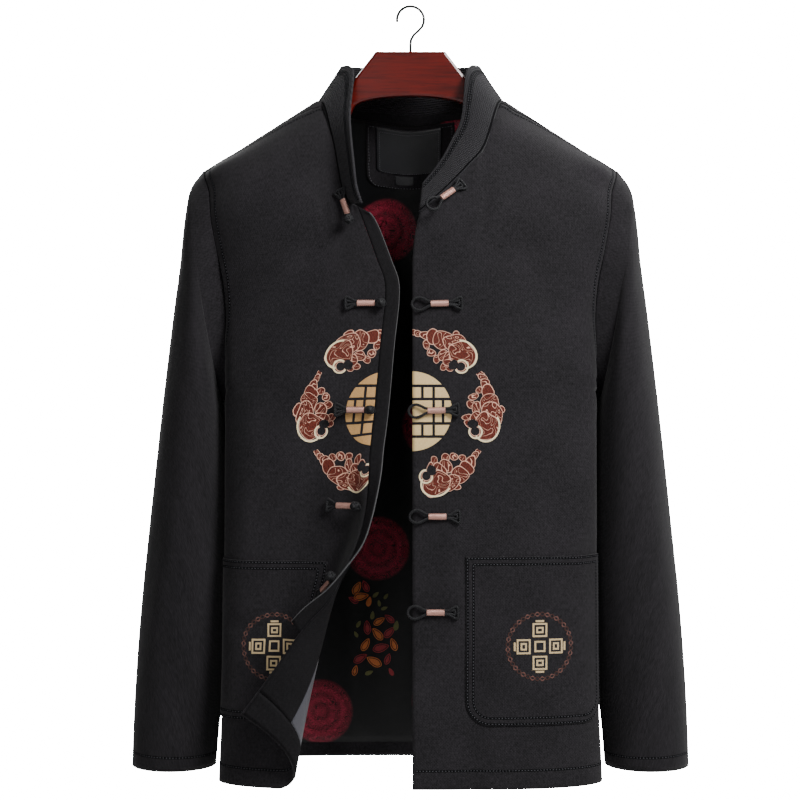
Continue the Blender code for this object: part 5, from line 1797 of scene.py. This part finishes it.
class JACKET_OT_hanger(bpy.types.Operator):
    """Varnishes the wooden hanger and paints its hook"""
    bl_idname = "jacket.hanger"
    bl_label = "Hanger"

    def execute(self, context):
        for slot in frame["nodes"]["hanger"].material_slots:
            slot.material = MATERIALS["wood"]()
        path = list(HOOK_SHANK)
        path += [(HOOK_RADIUS * math.cos(a), HOOK_RADIUS * math.sin(a) + HOOK_MIDDLE)
                 for a in np.radians(np.linspace(-35, 190, 40))]
        path = [(x * MM, 0.0, z * MM) for x, z in path]
        mesh = tube("hook_wire", [(path, False)], HOOK_WIRE, 3)
        placed(kept("hook_wire", mesh, "wire"), "hook_wire", "hook")
        return {"FINISHED"}


# The studio, in metres: the sweep's floor, where it turns up behind and the radius of that turn,
# the camera's place, its lens (mm), how bright what only the camera sees is, and the sky's light
FLOOR = -1.25
SWEEP_BACK = 2.4
COVE = 1.2
CAMERA = (-0.0117, -2.1, -0.439)
LENS = 84.5
PLAIN_WHITE = 30.0
SKY = 0.12


class JACKET_OT_studio(bpy.types.Operator):
    """Sets the pale sweep, the lights and the camera"""
    bl_idname = "jacket.studio"
    bl_label = "Studio"

    def execute(self, context):
        settings = context.scene.jacket_studio
        cove = [(SWEEP_BACK + COVE * math.sin(a), FLOOR + COVE * (1 - math.cos(a)))
                for a in np.linspace(0.1, math.pi / 2, 12)]
        profile = [(-3.2, FLOOR), (SWEEP_BACK, FLOOR), *cove, (SWEEP_BACK + COVE, 4.5)]
        mesh = bmesh.new()
        edge = [mesh.verts.new((-6.0, y, z)) for y, z in profile]
        lines = [mesh.edges.new(pair) for pair in zip(edge, edge[1:])]
        drawn = bmesh.ops.extrude_edge_only(mesh, edges=lines)["geom"]
        ends = [g for g in drawn if isinstance(g, bmesh.types.BMVert)]
        bmesh.ops.translate(mesh, vec=(12.0, 0, 0), verts=ends)
        bmesh.ops.recalc_face_normals(mesh, faces=mesh.faces[:])
        for face in mesh.faces:
            face.smooth = True
        data = bpy.data.meshes.new("sweep")
        mesh.to_mesh(data)
        mesh.free()
        # Matt paper sweep that glows a plain white to the camera only, so that it does not spill on the
        # jacket.
        paper, tree, shader = begun("paper, matt white", Roughness=0.9)
        shader.inputs["Base Color"].default_value = (*settings.backdrop, 1.0)
        shader.inputs["Emission Color"].default_value = (1, 1, 1, 1)
        seen = add(tree, "LightPath", {}, (), 0)
        tree.links.new(add(tree, "MULTIPLY", (seen, PLAIN_WHITE)), shader.inputs["Emission Strength"])
        data.materials.append(paper)
        sweep = bpy.data.objects.new("sweep", data)
        context.scene.collection.objects.link(sweep)

        lights = (("key", (1.25, -1.55, 0.95), (0.0, 0.0, -0.4), 1.0, settings.key_power),
                  ("fill", (-0.7, -2.5, 0.1), (0.0, 0.0, -0.45), 1.0, settings.fill_power),
                  ("top", (0.8, 0.6, 0.75), (0.0, 0.0, -0.1), 0.8, settings.fill_power * 1.2),
                  ("rear", (-0.9, 2.2, 0.5), (0.0, 0.0, -0.45), 1.4, settings.rear_power))
        for name, place, target, size, power in lights:
            lamp = bpy.data.lights.new(name, "AREA")
            lamp.shape, lamp.size, lamp.energy = "DISK", size, power
            light = bpy.data.objects.new(name, lamp)
            light.location = place
            light.rotation_euler = (Vector(target) - Vector(place)).to_track_quat("-Z", "Y").to_euler()
            context.scene.collection.objects.link(light)

        world = bpy.data.worlds.new("studio")
        world.use_nodes = True
        sky, tree = world.node_tree.nodes["Background"], world.node_tree
        sky.inputs["Color"].default_value = (1, 1, 1, 1)
        seen = add(tree, "LightPath", {}, (), 0)
        tree.links.new(add(tree, "MULTIPLY_ADD", (seen, PLAIN_WHITE, SKY)), sky.inputs["Strength"])
        context.scene.world = world

        lens = bpy.data.cameras.new("camera")
        lens.lens, lens.sensor_width = LENS, 36.0
        camera = bpy.data.objects.new("camera", lens)
        camera.location = CAMERA
        camera.rotation_euler = (math.pi / 2, 0, 0)
        context.scene.collection.objects.link(camera)
        context.scene.camera = camera
        return {"FINISHED"}


class JACKET_PT_panel(bpy.types.Panel):
    """Lists the jacket's pieces and sizes"""
    bl_label = "Tang jacket"
    bl_space_type = "VIEW_3D"
    bl_region_type = "UI"
    bl_category = "Jacket"

    def draw(self, context):
        column = self.layout.column()
        for group in (context.scene.jacket_sizes, context.scene.jacket_studio):
            for key in group.__annotations__:
                column.prop(group, key)
        for operator in OPERATORS:
            column.operator(operator.bl_idname)


OPERATORS = (JACKET_OT_panels, JACKET_OT_edge, JACKET_OT_inside, JACKET_OT_spray, JACKET_OT_pockets,
             JACKET_OT_frogs, JACKET_OT_stitching, JACKET_OT_hanger, JACKET_OT_studio)
CLASSES = (JacketSizes, StudioSettings, *OPERATORS, JACKET_PT_panel)


def register():
    for made in CLASSES:
        bpy.utils.register_class(made)
    bpy.types.Scene.jacket_sizes = PointerProperty(type=JacketSizes)
    bpy.types.Scene.jacket_studio = PointerProperty(type=StudioSettings)


def unregister():
    del bpy.types.Scene.jacket_studio
    del bpy.types.Scene.jacket_sizes
    for made in reversed(CLASSES):
        bpy.utils.unregister_class(made)


def main():
    register()
    for operator in OPERATORS:
        group, name = operator.bl_idname.split(".")
        getattr(getattr(bpy.ops, group), name)()


if __name__ == "__main__":
    main()
